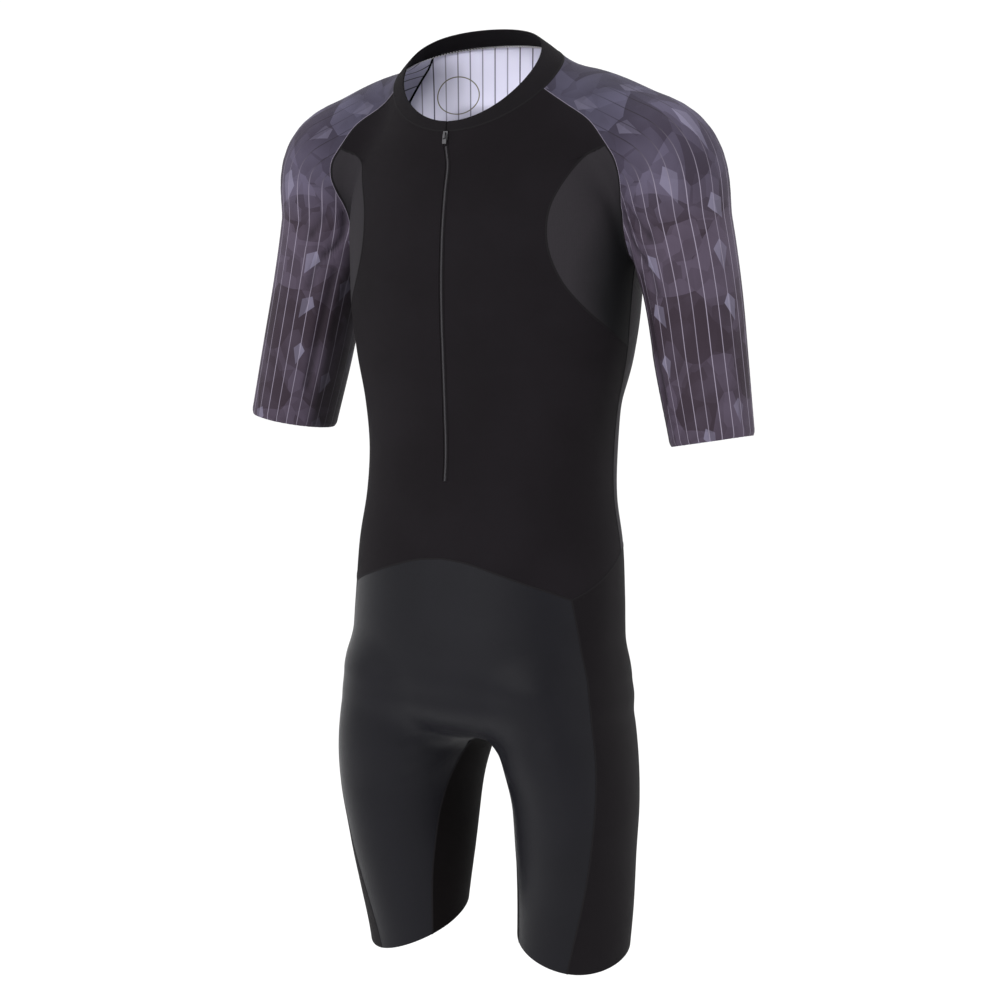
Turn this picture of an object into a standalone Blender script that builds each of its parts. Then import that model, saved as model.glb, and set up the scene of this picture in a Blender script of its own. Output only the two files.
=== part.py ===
# A short-sleeved triathlon suit, filled out as if worn, with nobody inside it.
# Metres, +Z up. The front faces -Y and the wearer's left is +X. The origin is the middle
# of the shoulder line at the base of the neck, where the wearer carries the suit.
#
# One smooth form stands for the filled suit: a torso, a neck, two bent arms and two legs,
# melted into each other. Seams are curves laid on it. Each cut piece is a grid of points
# between its seams, settled on the form, and gets a wall of cloth on its inner side.
import bpy
import numpy as np

CLOTH = 0.0015
COLLAR_CLOTH = 0.0022
SEAM_GAP = 0.0003
HALF_GAP = SEAM_GAP / 2

# Neck: the ring where the collar is sewn on, and the collar's free rim
NECK_SEAM = {"half_width": 0.096, "half_depth": 0.064, "centre_y": -0.033,
             "middle": -0.008, "rise": 0.047, "dip": -0.0065}
COLLAR_RIM = {"half_width": 0.081, "half_depth": 0.052, "centre_y": -0.044,
              "middle": 0.0045, "rise": 0.050, "dip": -0.0065}
NECK_FLARE_FRONT = 0.25
NECK_FLARE_BACK = 0.95
NECK_FLARE_REACH = 0.030
NECK_FLOOR = -0.085

# How softly the volumes melt into each other
NECK_BLEND = 0.022
ARM_BLEND = {"shoulder": 0.020, "underarm": 0.009, "high": -0.120, "low": -0.190}
HIP_BLEND = 0.024
CROTCH_BLEND = 0.020

# Upright sections, a row for each height. The turn is in degrees about the section's centre.
SECTION_COLUMNS = ("z", "centre_x", "centre_y", "half_width", "front", "back", "turn")
TORSO_ROWS = (
    (-0.030, 0.0, -0.006, 0.100, 0.055, 0.062, 0.0),
    (-0.060, 0.0, -0.002, 0.136, 0.076, 0.090, 0.0),
    (-0.100, 0.0, 0.000, 0.155, 0.094, 0.108, 0.0),
    (-0.150, 0.0, 0.002, 0.166, 0.106, 0.116, 0.0),
    (-0.200, 0.0, 0.003, 0.166, 0.111, 0.117, 0.0),
    (-0.250, 0.0, 0.003, 0.164, 0.111, 0.113, 0.0),
    (-0.300, 0.0, 0.002, 0.157, 0.107, 0.108, 0.0),
    (-0.350, 0.0, 0.000, 0.146, 0.102, 0.101, 0.0),
    (-0.400, 0.0, -0.001, 0.141, 0.099, 0.099, 0.0),
    (-0.450, 0.0, -0.004, 0.142, 0.101, 0.099, 0.0),
    (-0.500, 0.0, -0.006, 0.150, 0.104, 0.103, 0.0),
    (-0.560, 0.0, -0.009, 0.154, 0.105, 0.107, 0.0),
    (-0.610, 0.0, -0.012, 0.156, 0.105, 0.112, 0.0),
    (-0.640, 0.0, -0.013, 0.159, 0.104, 0.116, 0.0),
    (-0.662, 0.0, -0.012, 0.160, 0.100, 0.116, 0.0),
)
LEG_ROWS = (
    (-0.650, 0.083, -0.006, 0.071, 0.104, 0.108, 12.0),
    (-0.692, 0.0905, -0.0035, 0.0755, 0.102, 0.106, 14.0),
    (-0.720, 0.095, -0.003, 0.0750, 0.100, 0.104, 15.0),
    (-0.780, 0.104, -0.001, 0.0695, 0.088, 0.090, 18.0),
    (-0.840, 0.104, 0.001, 0.066, 0.076, 0.076, 22.0),
    (-0.900, 0.103, 0.002, 0.064, 0.062, 0.062, 30.0),
    (-0.960, 0.100, 0.002, 0.062, 0.052, 0.052, 33.0),
    (-1.000, 0.098, 0.002, 0.061, 0.050, 0.050, 33.0),
)
TORSO_SQUARENESS = 2.3
LEG_SQUARENESS = 2.0
DOME = 0.056
ARM_STEPS = 60
SEAM_STEPS = 200
LEVEL_STEPS = 60
HEM_STEPS = 10
SETTLE_STEPS = 10
FINE_STEP = 0.0005
BROAD_STEP = 0.004

# The arm's centre line from the neck over the shoulder and down to past the cuff
# and how much its section is pressed flat, from the front outside to the back inside
ARM_COLUMNS = ("x", "y", "z", "radius", "flat")
ARM_ROWS = (
    (0.050, 0.003, -0.034, 0.046, 0.0),
    (0.110, 0.005, -0.0485, 0.0540, 0.0),
    (0.165, 0.004, -0.0715, 0.0562, 0.0),
    (0.199, 0.004, -0.0915, 0.0600, 0.0),
    (0.2168, 0.011, -0.160, 0.0557, 0.0),
    (0.233, 0.011, -0.230, 0.052, 0.01),
    (0.246, 0.006, -0.300, 0.050, 0.03),
    (0.264, -0.001, -0.390, 0.046, 0.06),
    (0.275, -0.006, -0.450, 0.045, 0.06),
)

# The largest creases, as lines on the wearer's left half: start, end, reach to each side, depth
FOLD_COLUMNS = ("start_x", "start_y", "start_z", "end_x", "end_y", "end_z", "reach", "depth")
FOLD_ROWS = (
    (0.184, -0.034, -0.158, 0.206, -0.050, -0.236, 0.015, 0.0030),
    (0.186, 0.040, -0.172, 0.212, 0.052, -0.252, 0.016, 0.0032),
    (0.150, 0.050, -0.352, 0.096, 0.088, -0.392, 0.018, 0.0030),
    (0.098, 0.103, -0.696, 0.052, 0.109, -0.714, 0.016, 0.0026),
)

# The wearer's right leg ends a little lower: how far, and the heights it is stretched between
RIGHT_LEG = {"drop": 0.0080, "start": -0.760, "full": -0.915}

# Points where seams meet, on the wearer's left half; each is settled on the form
CORNERS = {
    "insert_top": (0.162, -0.053, -0.077),
    "underarm": (0.168, 0.010, -0.200),
    "insert_low": (0.160, 0.009, -0.286),
    "side_waist": (0.150, 0.016, -0.508),
    "front_waist": (0.0, -0.111, -0.509),
    "back_waist": (0.0, 0.100, -0.488),
    "shorts_corner": (0.134, -0.068, -0.549),
    "crotch_front": (0.0, -0.008, -0.723),
    "crotch_back": (0.0, 0.075, -0.700),
}
# Rims are split towards the end that lies higher this way, so neighbours split theirs alike
RIM_ORDER = np.array((0.11, 0.37, 1.0))
# Where each seam passes between its ends
ROUTES = {
    "raglan_front_upper": ((0.112, -0.049, -0.034), (0.143, -0.050, -0.054)),
    "raglan_front_lower": ((0.172, -0.053, -0.092), (0.175, -0.050, -0.108), (0.173, -0.043, -0.123),
                           (0.169, -0.033, -0.140), (0.168, -0.025, -0.160), (0.168, -0.014, -0.182),
                           (0.168, -0.003, -0.195)),
    "raglan_back": ((0.108, 0.032, 0.002), (0.140, 0.047, -0.034), (0.162, 0.056, -0.075),
                    (0.173, 0.057, -0.115), (0.172, 0.050, -0.141), (0.167, 0.040, -0.164),
                    (0.167, 0.031, -0.183), (0.168, 0.021, -0.195)),
    "insert_arc": ((0.141, -0.053, -0.086), (0.124, -0.066, -0.110), (0.112, -0.082, -0.145),
                   (0.112, -0.085, -0.176), (0.125, -0.079, -0.214), (0.146, -0.058, -0.247),
                   (0.159, -0.030, -0.268)),
    "side_upper": ((0.166, 0.008, -0.211), (0.165, 0.005, -0.235), (0.163, 0.005, -0.260)),
    "side_lower": ((0.143, 0.014, -0.350), (0.137, 0.015, -0.420)),
    "waist_front": ((0.028, -0.110, -0.5120), (0.062, -0.106, -0.5210), (0.096, -0.095, -0.5325),
                    (0.117, -0.083, -0.5405)),
    "waist_side": ((0.145, -0.049, -0.540), (0.151, -0.016, -0.524)),
    "waist_back": ((0.125, 0.066, -0.496), (0.070, 0.092, -0.490)),
    "front_centre": ((0.0, -0.109, -0.580), (0.0, -0.108, -0.650), (0.0, -0.085, -0.705),
                     (0.0, -0.045, -0.722)),
    "back_centre": ((0.0, 0.108, -0.540), (0.0, 0.112, -0.610), (0.0, 0.103, -0.665)),
    "crotch": ((0.0, 0.035, -0.720),),
    "side_front": ((0.145, -0.064, -0.602), (0.154, -0.065, -0.655), (0.158, -0.063, -0.718),
                   (0.155, -0.060, -0.795), (0.144, -0.054, -0.864)),
    "gusset_front": ((0.024, -0.022, -0.742), (0.043, -0.036, -0.793), (0.052, -0.041, -0.850)),
    "gusset_back": ((0.026, 0.068, -0.735), (0.044, 0.058, -0.790), (0.053, 0.048, -0.850)),
}
RAGLAN_FRONT_ANGLE = 70.0
RAGLAN_BACK_ANGLE = 126.0

# The hems lie in sloping planes: height at the leg's or arm's middle, rise per metre in x and y
LEG_HEM = {"reach": 0.060, "x": 0.100, "y": 0.0, "z": -0.938, "rise_x": -0.29, "rise_y": 0.35}
CUFF = {"x": 0.263, "y": 0.0, "z": -0.381, "rise_x": 0.18, "rise_y": -0.03}
# Directions, in degrees from the front towards the outside, in which seams reach the leg hem
SIDE_FRONT_HEM = 22.0
GUSSET_FRONT_HEM = -48.0
GUSSET_BACK_HEM = -140.0

# Spans along each seam
SPANS = {
    "neck_front": 12, "neck_shoulder": 4, "neck_back": 8,
    "raglan_front_upper": 4, "raglan_front_lower": 6, "raglan_back": 13,
    "side_upper": 4, "side_lower": 9,
    "waist_front": 8, "waist_side": 4,
    "front_centre": 12, "gusset_front": 9, "crotch": 5,
}
INSERT_COLUMNS = 5
COLLAR_OPENING = 0.0016
ZIP_TAPE_WIDTH = 0.0056
ZIP_BOTTOM = -0.423
SLIDER = {"z": -0.0668, "width": 0.0056, "height": 0.0092, "plate": 0.0015, "bridge_width": 0.0020,
          "bridge_height": 0.0064, "opening_height": 0.0042, "opening_depth": 0.0016, "bar": 0.0010}
PULL = {"width": 0.0048, "bar": 0.0008, "thickness": 0.0008, "axis_up": 0.0008, "window": 0.0049,
        "length": 0.0096}
SLEEVE_ROWS = 17
# The share of the arm's line past which the cuff is looked for, places tried there, and how
# soon a sleeve's rings take the arm's own radius
FOREARM_START = 0.6
CUFF_TRIALS = 400
ROUNDING_RATE = 3.0
COLLAR_ROWS = 2
EVEN_STEPS = 3
BOW_FADE = 2.5
TIP_LIMIT = 0.02


def table(columns, rows):
    # Rows of numbers as one array for each named column, lowest first column first
    values = np.array(sorted(rows))
    return dict(zip(columns, values.T))


def smooth_curve(knots, values, where):
    # Cubic Hermite curve through the values, each slope taken from both neighbours
    slopes = np.gradient(values, knots, axis=0)
    where = np.clip(where, knots[0], knots[-1])
    span = np.clip(np.searchsorted(knots, where) - 1, 0, len(knots) - 2)
    width = knots[span + 1] - knots[span]
    t = (where - knots[span]) / width
    if values.ndim == 2:
        width = width[:, None]
        t = t[:, None]
    rest = 1 - t
    return (values[span] * (1 + 2 * t) * rest ** 2 + values[span + 1] * (3 - 2 * t) * t ** 2
            + slopes[span] * width * t * rest ** 2 - slopes[span + 1] * width * t ** 2 * rest)


def smooth_union(first, second, radius):
    mix = np.clip(0.5 + 0.5 * (second - first) / radius, 0.0, 1.0)
    return second + (first - second) * mix - radius * mix * (1.0 - mix)


TORSO = table(SECTION_COLUMNS, TORSO_ROWS)
LEG = table(SECTION_COLUMNS, LEG_ROWS)


def section_distance(points, rows, squareness):
    # How far each point lies outside its level's section; a dome closes both ends
    z = np.clip(points[:, 2], rows["z"][0], rows["z"][-1])
    level = {name: smooth_curve(rows["z"], rows[name], z) for name in SECTION_COLUMNS[1:]}
    turn = np.radians(level["turn"])
    east = points[:, 0] - level["centre_x"]
    north = points[:, 1] - level["centre_y"]
    across = east * np.cos(turn) + north * np.sin(turn)
    deep = north * np.cos(turn) - east * np.sin(turn)
    depth = np.where(deep < 0, level["front"], level["back"])
    past_end = points[:, 2] - z
    ring = np.abs(across / level["half_width"]) ** squareness + np.abs(deep / depth) ** squareness
    share = np.sqrt(ring ** (2 / squareness) + (past_end / DOME) ** 2) + 1e-9
    reach = np.sqrt(across ** 2 + deep ** 2 + past_end ** 2)
    return reach * (1 - 1 / share)


def ring_height(ring, forward):
    # Height of a neck ring where the cosine of the angle from the front is "forward"
    return ring["middle"] - ring["rise"] * forward + ring["dip"] * (2 * forward ** 2 - 1)


def ring_points(ring, angles):
    # Points of a neck ring at angles in radians, from the front towards the wearer's left
    forward = np.cos(angles)
    return np.stack([ring["half_width"] * np.sin(angles),
                     ring["centre_y"] - ring["half_depth"] * forward,
                     ring_height(ring, forward)], axis=1)


def neck_distance(points):
    # A cone through the neck seam that flares as it goes down, and stops inside the chest
    across = points[:, 0] / NECK_SEAM["half_width"]
    deep = (points[:, 1] - NECK_SEAM["centre_y"]) / NECK_SEAM["half_depth"]
    share = np.hypot(across, deep) + 1e-9
    forward = -deep / share
    radius = np.hypot(points[:, 0], points[:, 1] - NECK_SEAM["centre_y"]) / share
    drop = ring_height(NECK_SEAM, forward) - points[:, 2]
    flare = NECK_FLARE_FRONT + (NECK_FLARE_BACK - NECK_FLARE_FRONT) * (1 - forward) / 2
    spread = flare * drop / (1 + np.abs(drop) / NECK_FLARE_REACH)
    cone = radius * (share - 1) - spread
    floor = NECK_FLOOR - points[:, 2]
    return -smooth_union(-cone, -floor, NECK_BLEND)


ARM_KNOTS = np.array(ARM_ROWS)
ARM_RADIUS = ARM_COLUMNS.index("radius")
ARM_FLAT = ARM_COLUMNS.index("flat")
ARM_STRIDES = np.linalg.norm(np.diff(ARM_KNOTS[:, :3], axis=0), axis=1)
ARM_CHORD = np.concatenate([[0], np.cumsum(ARM_STRIDES)])
ARM_LINE = smooth_curve(ARM_CHORD, ARM_KNOTS, np.linspace(0, ARM_CHORD[-1], ARM_STEPS + 1))


def arm_distance(points):
    # Distance to a round tube about the arm's centre line
    start = ARM_LINE[:-1]
    step = np.diff(ARM_LINE, axis=0)
    offset = points[:, None, :] - start[None, :, :3]
    share = (offset * step[None, :, :3]).sum(axis=2) / (step[:, :3] ** 2).sum(axis=1)
    share = np.clip(share, 0, 1)
    nearest = offset - share[:, :, None] * step[None, :, :3]
    reach = np.linalg.norm(nearest, axis=2)
    skew = -2 * nearest[:, :, 0] * nearest[:, :, 1] / (reach ** 2 + 1e-12)
    flat = start[:, ARM_FLAT] + share * step[:, ARM_FLAT]
    radius = (start[:, ARM_RADIUS] + share * step[:, ARM_RADIUS]) * (1 + flat * skew)
    return (reach - radius).min(axis=1)


def fold_depth(points):
    # How far the largest creases draw the cloth in, deepest along each crease's line
    total = np.zeros(len(points))
    for row in FOLD_ROWS:
        fold = dict(zip(FOLD_COLUMNS, row))
        start = np.array((fold["start_x"], fold["start_y"], fold["start_z"]))
        step = np.array((fold["end_x"], fold["end_y"], fold["end_z"])) - start
        share = np.clip((points - start) @ step / (step @ step), 0, 1)
        gap = np.linalg.norm(points - start - share[:, None] * step, axis=1)
        total += fold["depth"] * np.exp(-(gap / fold["reach"]) ** 2)
    return total


def form(points):
    # The filled suit: negative inside, zero on the cloth's outer face
    left = points * 1.0
    left[:, 0] = np.abs(left[:, 0])
    right = left * (-1, 1, 1)
    legs = smooth_union(section_distance(left, LEG, LEG_SQUARENESS),
                        section_distance(right, LEG, LEG_SQUARENESS), CROTCH_BLEND)
    body = smooth_union(section_distance(left, TORSO, TORSO_SQUARENESS), legs, HIP_BLEND)
    body = smooth_union(body, neck_distance(left), NECK_BLEND)
    blend = np.interp(left[:, 2], (ARM_BLEND["low"], ARM_BLEND["high"]),
                      (ARM_BLEND["underarm"], ARM_BLEND["shoulder"]))
    return smooth_union(body, arm_distance(left), blend) + fold_depth(left)


def slope(points, step):
    return np.stack([(form(points + step * axis) - form(points - step * axis)) / (2 * step)
                     for axis in np.eye(3)], axis=1)


def settle(points):
    # Move points along the form's slope until they lie on it
    shape = points.shape
    points = points.reshape(-1, 3)
    for _ in range(SETTLE_STEPS):
        grade = slope(points, FINE_STEP)
        points = points - form(points)[:, None] * grade / (grade ** 2).sum(axis=1)[:, None]
    return points.reshape(shape)


def outward(points):
    # The way out of the suit, taken over a broad step so that it halves the angle of a crease
    grade = slope(points.reshape(-1, 3), BROAD_STEP)
    return (grade / np.linalg.norm(grade, axis=1)[:, None]).reshape(points.shape)


def arc_share(points):
    # How far along a line of points each one lies, from 0 to 1
    steps = np.linalg.norm(np.diff(points, axis=0), axis=1)
    along = np.concatenate([[0], np.cumsum(steps)])
    return along / along[-1]


def fall_share(points):
    # How far down a falling line of points each one lies, from 0 to 1
    return (points[0, 2] - points[:, 2]) / (points[0, 2] - points[-1, 2])


def resample(points, shares):
    own = arc_share(points)
    return np.stack([np.interp(shares, own, points[:, k]) for k in range(3)], axis=1)


def seam(route, spans):
    # A curve on the form through the route's points, cut into equal spans. Both ends stay put.
    route = np.array(route)
    route[1:-1] = settle(route[1:-1])
    dense = settle(smooth_curve(arc_share(route), route, np.linspace(0, 1, SEAM_STEPS)))
    line = settle(resample(dense, np.linspace(0, 1, spans + 1)))
    line[0] = route[0]
    line[-1] = route[-1]
    return line


def chain(*lines):
    # Seams laid end to end
    return np.concatenate([lines[0]] + [line[1:] for line in lines[1:]])


def mirror(points):
    return points * (-1, 1, 1)


def patch(top, bottom, left, right, fade=1.0):
    # A grid between four border lines: rows from top to bottom, columns from left to right.
    # The borders stay as they are. The inner points are spaced along their rows as the borders
    # are, and settled on the form. The bow of the upper and lower border fades towards the middle.
    across = (arc_share(top)[None, :] + arc_share(bottom)[None, :]) / 2
    down = (arc_share(left)[:, None] + arc_share(right)[:, None]) / 2
    u = across[:, :, None] * np.ones((len(left), 1, 1))
    v = down[:, :, None] * np.ones((1, len(top), 1))
    top_bow = top[None] - (1 - u) * top[0] - u * top[-1]
    bottom_bow = bottom[None] - (1 - u) * bottom[0] - u * bottom[-1]
    grid = ((1 - u) * left[:, None] + u * right[:, None]
            + (1 - v) ** fade * top_bow + v ** fade * bottom_bow)
    grid[0] = top
    grid[-1] = bottom
    grid[:, 0] = left
    grid[:, -1] = right
    grid[1:-1, 1:-1] = settle(grid[1:-1, 1:-1])
    for _ in range(EVEN_STEPS):
        for row in grid[1:-1]:
            row[1:-1] = resample(row, across[0])[1:-1]
        grid[1:-1, 1:-1] = settle(grid[1:-1, 1:-1])
    return grid


def grid_faces(rows, columns, closed=False, skip=()):
    # Four-sided cells of a grid of points, wound so that they face out. "Skip" names cells
    # that stay open, by row and column.
    faces = []
    for r in range(rows - 1):
        for c in range(columns - 1 + closed):
            right = (c + 1) % columns
            if (r, c) not in skip:
                faces.append((r * columns + c, (r + 1) * columns + c,
                              (r + 1) * columns + right, r * columns + right))
    return faces


def merge_equal(points, faces):
    # Points in one place become one point, as at a lens tip, and cells that close up go
    keys = {}
    index = [keys.setdefault(tuple(np.round(point, 7)), len(keys)) for point in points]
    kept = np.zeros((len(keys), 3))
    kept[index] = points
    clean = []
    for face in faces:
        ring = [index[k] for k in face]
        ring = [k for n, k in enumerate(ring) if k != ring[n - 1]]
        if len(set(ring)) > 2:
            clean.append(tuple(ring))
    return kept, clean


def triangles(points, faces):
    # Cells split along their shorter diagonal, the same way on both sides of a wall
    result = []
    for face in faces:
        if len(face) == 3:
            result.append(face)
            continue
        a, b, c, d = face
        if np.linalg.norm(points[a] - points[c]) <= np.linalg.norm(points[b] - points[d]) + 1e-9:
            result += [(a, b, c), (a, c, d)]
        else:
            result += [(a, b, d), (b, c, d)]
    return result


def inset(points, faces, normals, amount):
    # Draw the free edges in along the surface, so that neighbours keep half the seam gap each
    edges = {(face[n - 1], face[n]) for face in faces for n in range(len(face))}
    free = [edge for edge in edges if edge[::-1] not in edges]
    after = dict(free)
    before = {b: a for a, b in free}
    moved = points.copy()
    for k in after:
        normal = normals[k]
        inward = []
        for step in (points[k] - points[before[k]], points[after[k]] - points[k]):
            side = np.cross(normal, step)
            inward.append(side / np.linalg.norm(side))
        first, second = inward
        moved[k] += amount * (first + second) / max(1 + first @ second, TIP_LIMIT)
    return moved, free


def lengthen_right_leg(points):
    # Points of the right leg move down, by nothing at the start and by the whole drop at the hem
    share = (RIGHT_LEG["start"] - points[:, 2]) / (RIGHT_LEG["start"] - RIGHT_LEG["full"])
    share = np.clip(share, 0, 1)
    fall = RIGHT_LEG["drop"] * share ** 2 * (3 - 2 * share) * (points[:, 0] < 0)
    return points - fall[:, None] * (0, 0, 1)


def wall(name, points, faces, thickness, cloth, normals=None):
    # Cloth: the points are its outer face, and its inner face lies a thickness further in
    points, faces = merge_equal(points.reshape(-1, 3), faces)
    faces = triangles(points, faces)
    if normals is None:
        normals = outward(points)
    height = points @ RIM_ORDER
    points, free = inset(points, faces, normals, HALF_GAP)
    count = len(points)
    body = lengthen_right_leg(np.concatenate([points, points - thickness * normals]))
    inner = [tuple(k + count for k in face[::-1]) for face in faces]
    rims = []
    for a, b in sorted(free):
        if height[a] > height[b]:
            rims += [(b, a, b + count), (a, a + count, b + count)]
        else:
            rims += [(b, a, a + count), (b, a + count, b + count)]
    add_piece(name, [tuple(p) for p in body], faces + inner + rims, cloth)


def add_piece(name, points, faces, finish, metallic=0.0, sharp=40.0):
    mesh = bpy.data.meshes.new(name)
    mesh.from_pydata(points, [], faces)
    mesh.update()
    mesh.shade_smooth()
    mesh.set_sharp_from_angle(angle=np.radians(sharp))
    material = bpy.data.materials.new(name)
    material.use_nodes = True
    shader = material.node_tree.nodes["Principled BSDF"]
    colour, roughness = finish
    shader.inputs["Base Color"].default_value = (*colour, 1.0)
    shader.inputs["Roughness"].default_value = roughness
    shader.inputs["Metallic"].default_value = metallic
    mesh.materials.append(material)
    piece = bpy.data.objects.new(name, mesh)
    bpy.context.scene.collection.objects.link(piece)
    return piece


for old in list(bpy.data.objects):
    bpy.data.objects.remove(old)

corner = {name: settle(np.array([place]))[0] for name, place in CORNERS.items()}


def neck_seam(start, end, spans):
    return settle(ring_points(NECK_SEAM, np.radians(np.linspace(start, end, spans + 1))))


def plane_height(plane, x, y):
    return plane["z"] + plane["rise_x"] * (x - plane["x"]) + plane["rise_y"] * (y - plane["y"])


def hem_line(start, end, spans):
    # The leg's hem between two directions about the leg's middle
    angles = np.radians(np.linspace(start, end, spans * HEM_STEPS + 1))
    points = np.stack([LEG_HEM["x"] + LEG_HEM["reach"] * np.sin(angles),
                       LEG_HEM["y"] - LEG_HEM["reach"] * np.cos(angles)], axis=1)
    height = plane_height(LEG_HEM, points[:, 0], points[:, 1])
    line = settle(np.concatenate([points, height[:, None]], axis=1))
    return resample(line, np.linspace(0, 1, spans + 1))


def between(name, start, end, spans=None):
    return seam([start, *ROUTES[name], end], spans or SPANS[name])


# Neck and raglan seams
neck_front = neck_seam(0.0, RAGLAN_FRONT_ANGLE, SPANS["neck_front"])
neck_shoulder = neck_seam(RAGLAN_FRONT_ANGLE, RAGLAN_BACK_ANGLE, SPANS["neck_shoulder"])
neck_back = neck_seam(RAGLAN_BACK_ANGLE, 180.0, SPANS["neck_back"])
raglan_front_upper = between("raglan_front_upper", neck_front[-1], corner["insert_top"])
raglan_front_lower = between("raglan_front_lower", corner["insert_top"], corner["underarm"])
raglan_back = between("raglan_back", neck_back[0], corner["underarm"])

# Side seams and the waist
side_upper = between("side_upper", corner["underarm"], corner["insert_low"])
side_lower = between("side_lower", corner["insert_low"], corner["side_waist"])
insert_arc = between("insert_arc", corner["insert_top"], corner["insert_low"],
                     SPANS["raglan_front_lower"] + SPANS["side_upper"])
waist_front = between("waist_front", corner["front_waist"], corner["shorts_corner"])
waist_side = between("waist_side", corner["shorts_corner"], corner["side_waist"])
waist_back = between("waist_back", corner["side_waist"], corner["back_waist"], SPANS["neck_back"])

# Seams of the shorts
hem_front = hem_line(GUSSET_FRONT_HEM, SIDE_FRONT_HEM, SPANS["waist_front"])
hem_outer = hem_line(SIDE_FRONT_HEM, 360.0 + GUSSET_BACK_HEM, SPANS["waist_side"] + SPANS["neck_back"])
hem_inner = hem_line(GUSSET_FRONT_HEM, GUSSET_BACK_HEM, SPANS["crotch"])
front_centre = between("front_centre", corner["front_waist"], corner["crotch_front"])
back_centre = between("back_centre", corner["back_waist"], corner["crotch_back"],
                      SPANS["front_centre"])
crotch = between("crotch", corner["crotch_front"], corner["crotch_back"])
gusset_front = between("gusset_front", corner["crotch_front"], hem_front[0])
gusset_back = between("gusset_back", corner["crotch_back"], hem_outer[-1], SPANS["gusset_front"])
side_front = between("side_front", corner["shorts_corner"], hem_front[-1],
                     SPANS["front_centre"] + SPANS["gusset_front"])


# Cloths and metal: colour, roughness
BLACK_KNIT = ((0.022, 0.021, 0.024), 0.60)
PRINT = ((0.235, 0.205, 0.265), 0.60)
MESH = ((0.120, 0.118, 0.130), 0.70)
SHINY_BLACK = ((0.016, 0.016, 0.021), 0.28)
GUSSET_BLACK = ((0.018, 0.018, 0.020), 0.60)
ZIP_GREY = ((0.330, 0.330, 0.345), 0.50)
ZIP_METAL = ((0.720, 0.730, 0.760), 0.30)


def level_line(start, end, shares, offset=0.0):
    # A line down the middle of the front or back, cut at the given shares of its length
    route = settle(np.linspace(start, end, LEVEL_STEPS))
    line = settle(resample(route, shares))
    line[0] = start
    line[-1] = end
    line[:, 0] = offset
    return line


def front_bodice():
    side = chain(raglan_front_upper, insert_arc, side_lower)
    neck = neck_front.copy()
    waist = chain(waist_front, waist_side)
    half_slit = ZIP_TAPE_WIDTH / 2 + SEAM_GAP
    for border in (neck, waist):
        border[0] += (border[1] - border[0]) * half_slit / border[1, 0]
    middle = level_line(neck[0], waist[0], fall_share(side), half_slit)
    half = patch(neck, waist, middle, side, BOW_FADE)
    grid = np.concatenate([mirror(half[:, ::-1]), half], axis=1)
    rows, columns = grid.shape[:2]
    last_open_row = np.searchsorted(-middle[:, 2], -ZIP_BOTTOM) - 1
    slit = [(r, columns // 2 - 1) for r in range(last_open_row + 1)]
    wall("front_bodice", grid, grid_faces(rows, columns, skip=slit), CLOTH, BLACK_KNIT)
    return middle[:last_open_row + 2]


def back_bodice():
    side = chain(raglan_back, side_upper, side_lower)
    middle = level_line(neck_back[-1], corner["back_waist"], fall_share(side))
    half = patch(neck_back, waist_back, side, middle, BOW_FADE)
    grid = np.concatenate([half, mirror(half[:, -2::-1])], axis=1)
    wall("back_bodice", grid, grid_faces(*grid.shape[:2]), CLOTH, PRINT)


def on_both_sides(name, grid, faces, cloth):
    # The wearer's left piece and its mirror image
    points = grid.reshape(-1, 3)
    wall(name + "_left", points, faces, CLOTH, cloth)
    wall(name + "_right", mirror(points), [face[::-1] for face in faces], CLOTH, cloth)


def side_insert():
    back_edge = chain(raglan_front_lower, side_upper)
    across = np.linspace(0, 1, INSERT_COLUMNS + 1)[None, :, None]
    grid = (1 - across) * insert_arc[:, None] + across * back_edge[:, None]
    grid[1:-1, 1:-1] = settle(grid[1:-1, 1:-1])
    on_both_sides("side_insert", grid, grid_faces(*grid.shape[:2]), MESH)


def arm_place(points):
    # Where points lie about the arm's centre line: share of its length and angle round it
    start = ARM_LINE[:-1, :3]
    step = np.diff(ARM_LINE[:, :3], axis=0)
    offset = points[:, None, :] - start[None]
    share = np.clip((offset * step[None]).sum(axis=2) / (step ** 2).sum(axis=1), 0, 1)
    gap = np.linalg.norm(offset - share[:, :, None] * step[None], axis=2)
    best = gap.argmin(axis=1)
    rows = np.arange(len(points))
    along = best + share[rows, best]
    centre, front, up = arm_frame(along)
    radial = points - centre
    angle = np.unwrap(np.arctan2((radial * up).sum(axis=1), (radial * front).sum(axis=1)))
    return along, angle, np.linalg.norm(radial, axis=1)


def arm_frame(along):
    # Centre, forward and upward directions at places along the arm's centre line
    steps = np.arange(len(ARM_LINE))
    tangent = np.gradient(ARM_LINE[:, :3], axis=0)
    centre = np.stack([np.interp(along, steps, ARM_LINE[:, k]) for k in range(3)], axis=-1)
    tangent = np.stack([np.interp(along, steps, tangent[:, k]) for k in range(3)], axis=-1)
    tangent /= np.linalg.norm(tangent, axis=-1, keepdims=True)
    front = np.array((0.0, -1.0, 0.0)) - tangent * -tangent[..., 1:2]
    front /= np.linalg.norm(front, axis=-1, keepdims=True)
    up = np.cross(front, tangent)
    return centre, front, up


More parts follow.
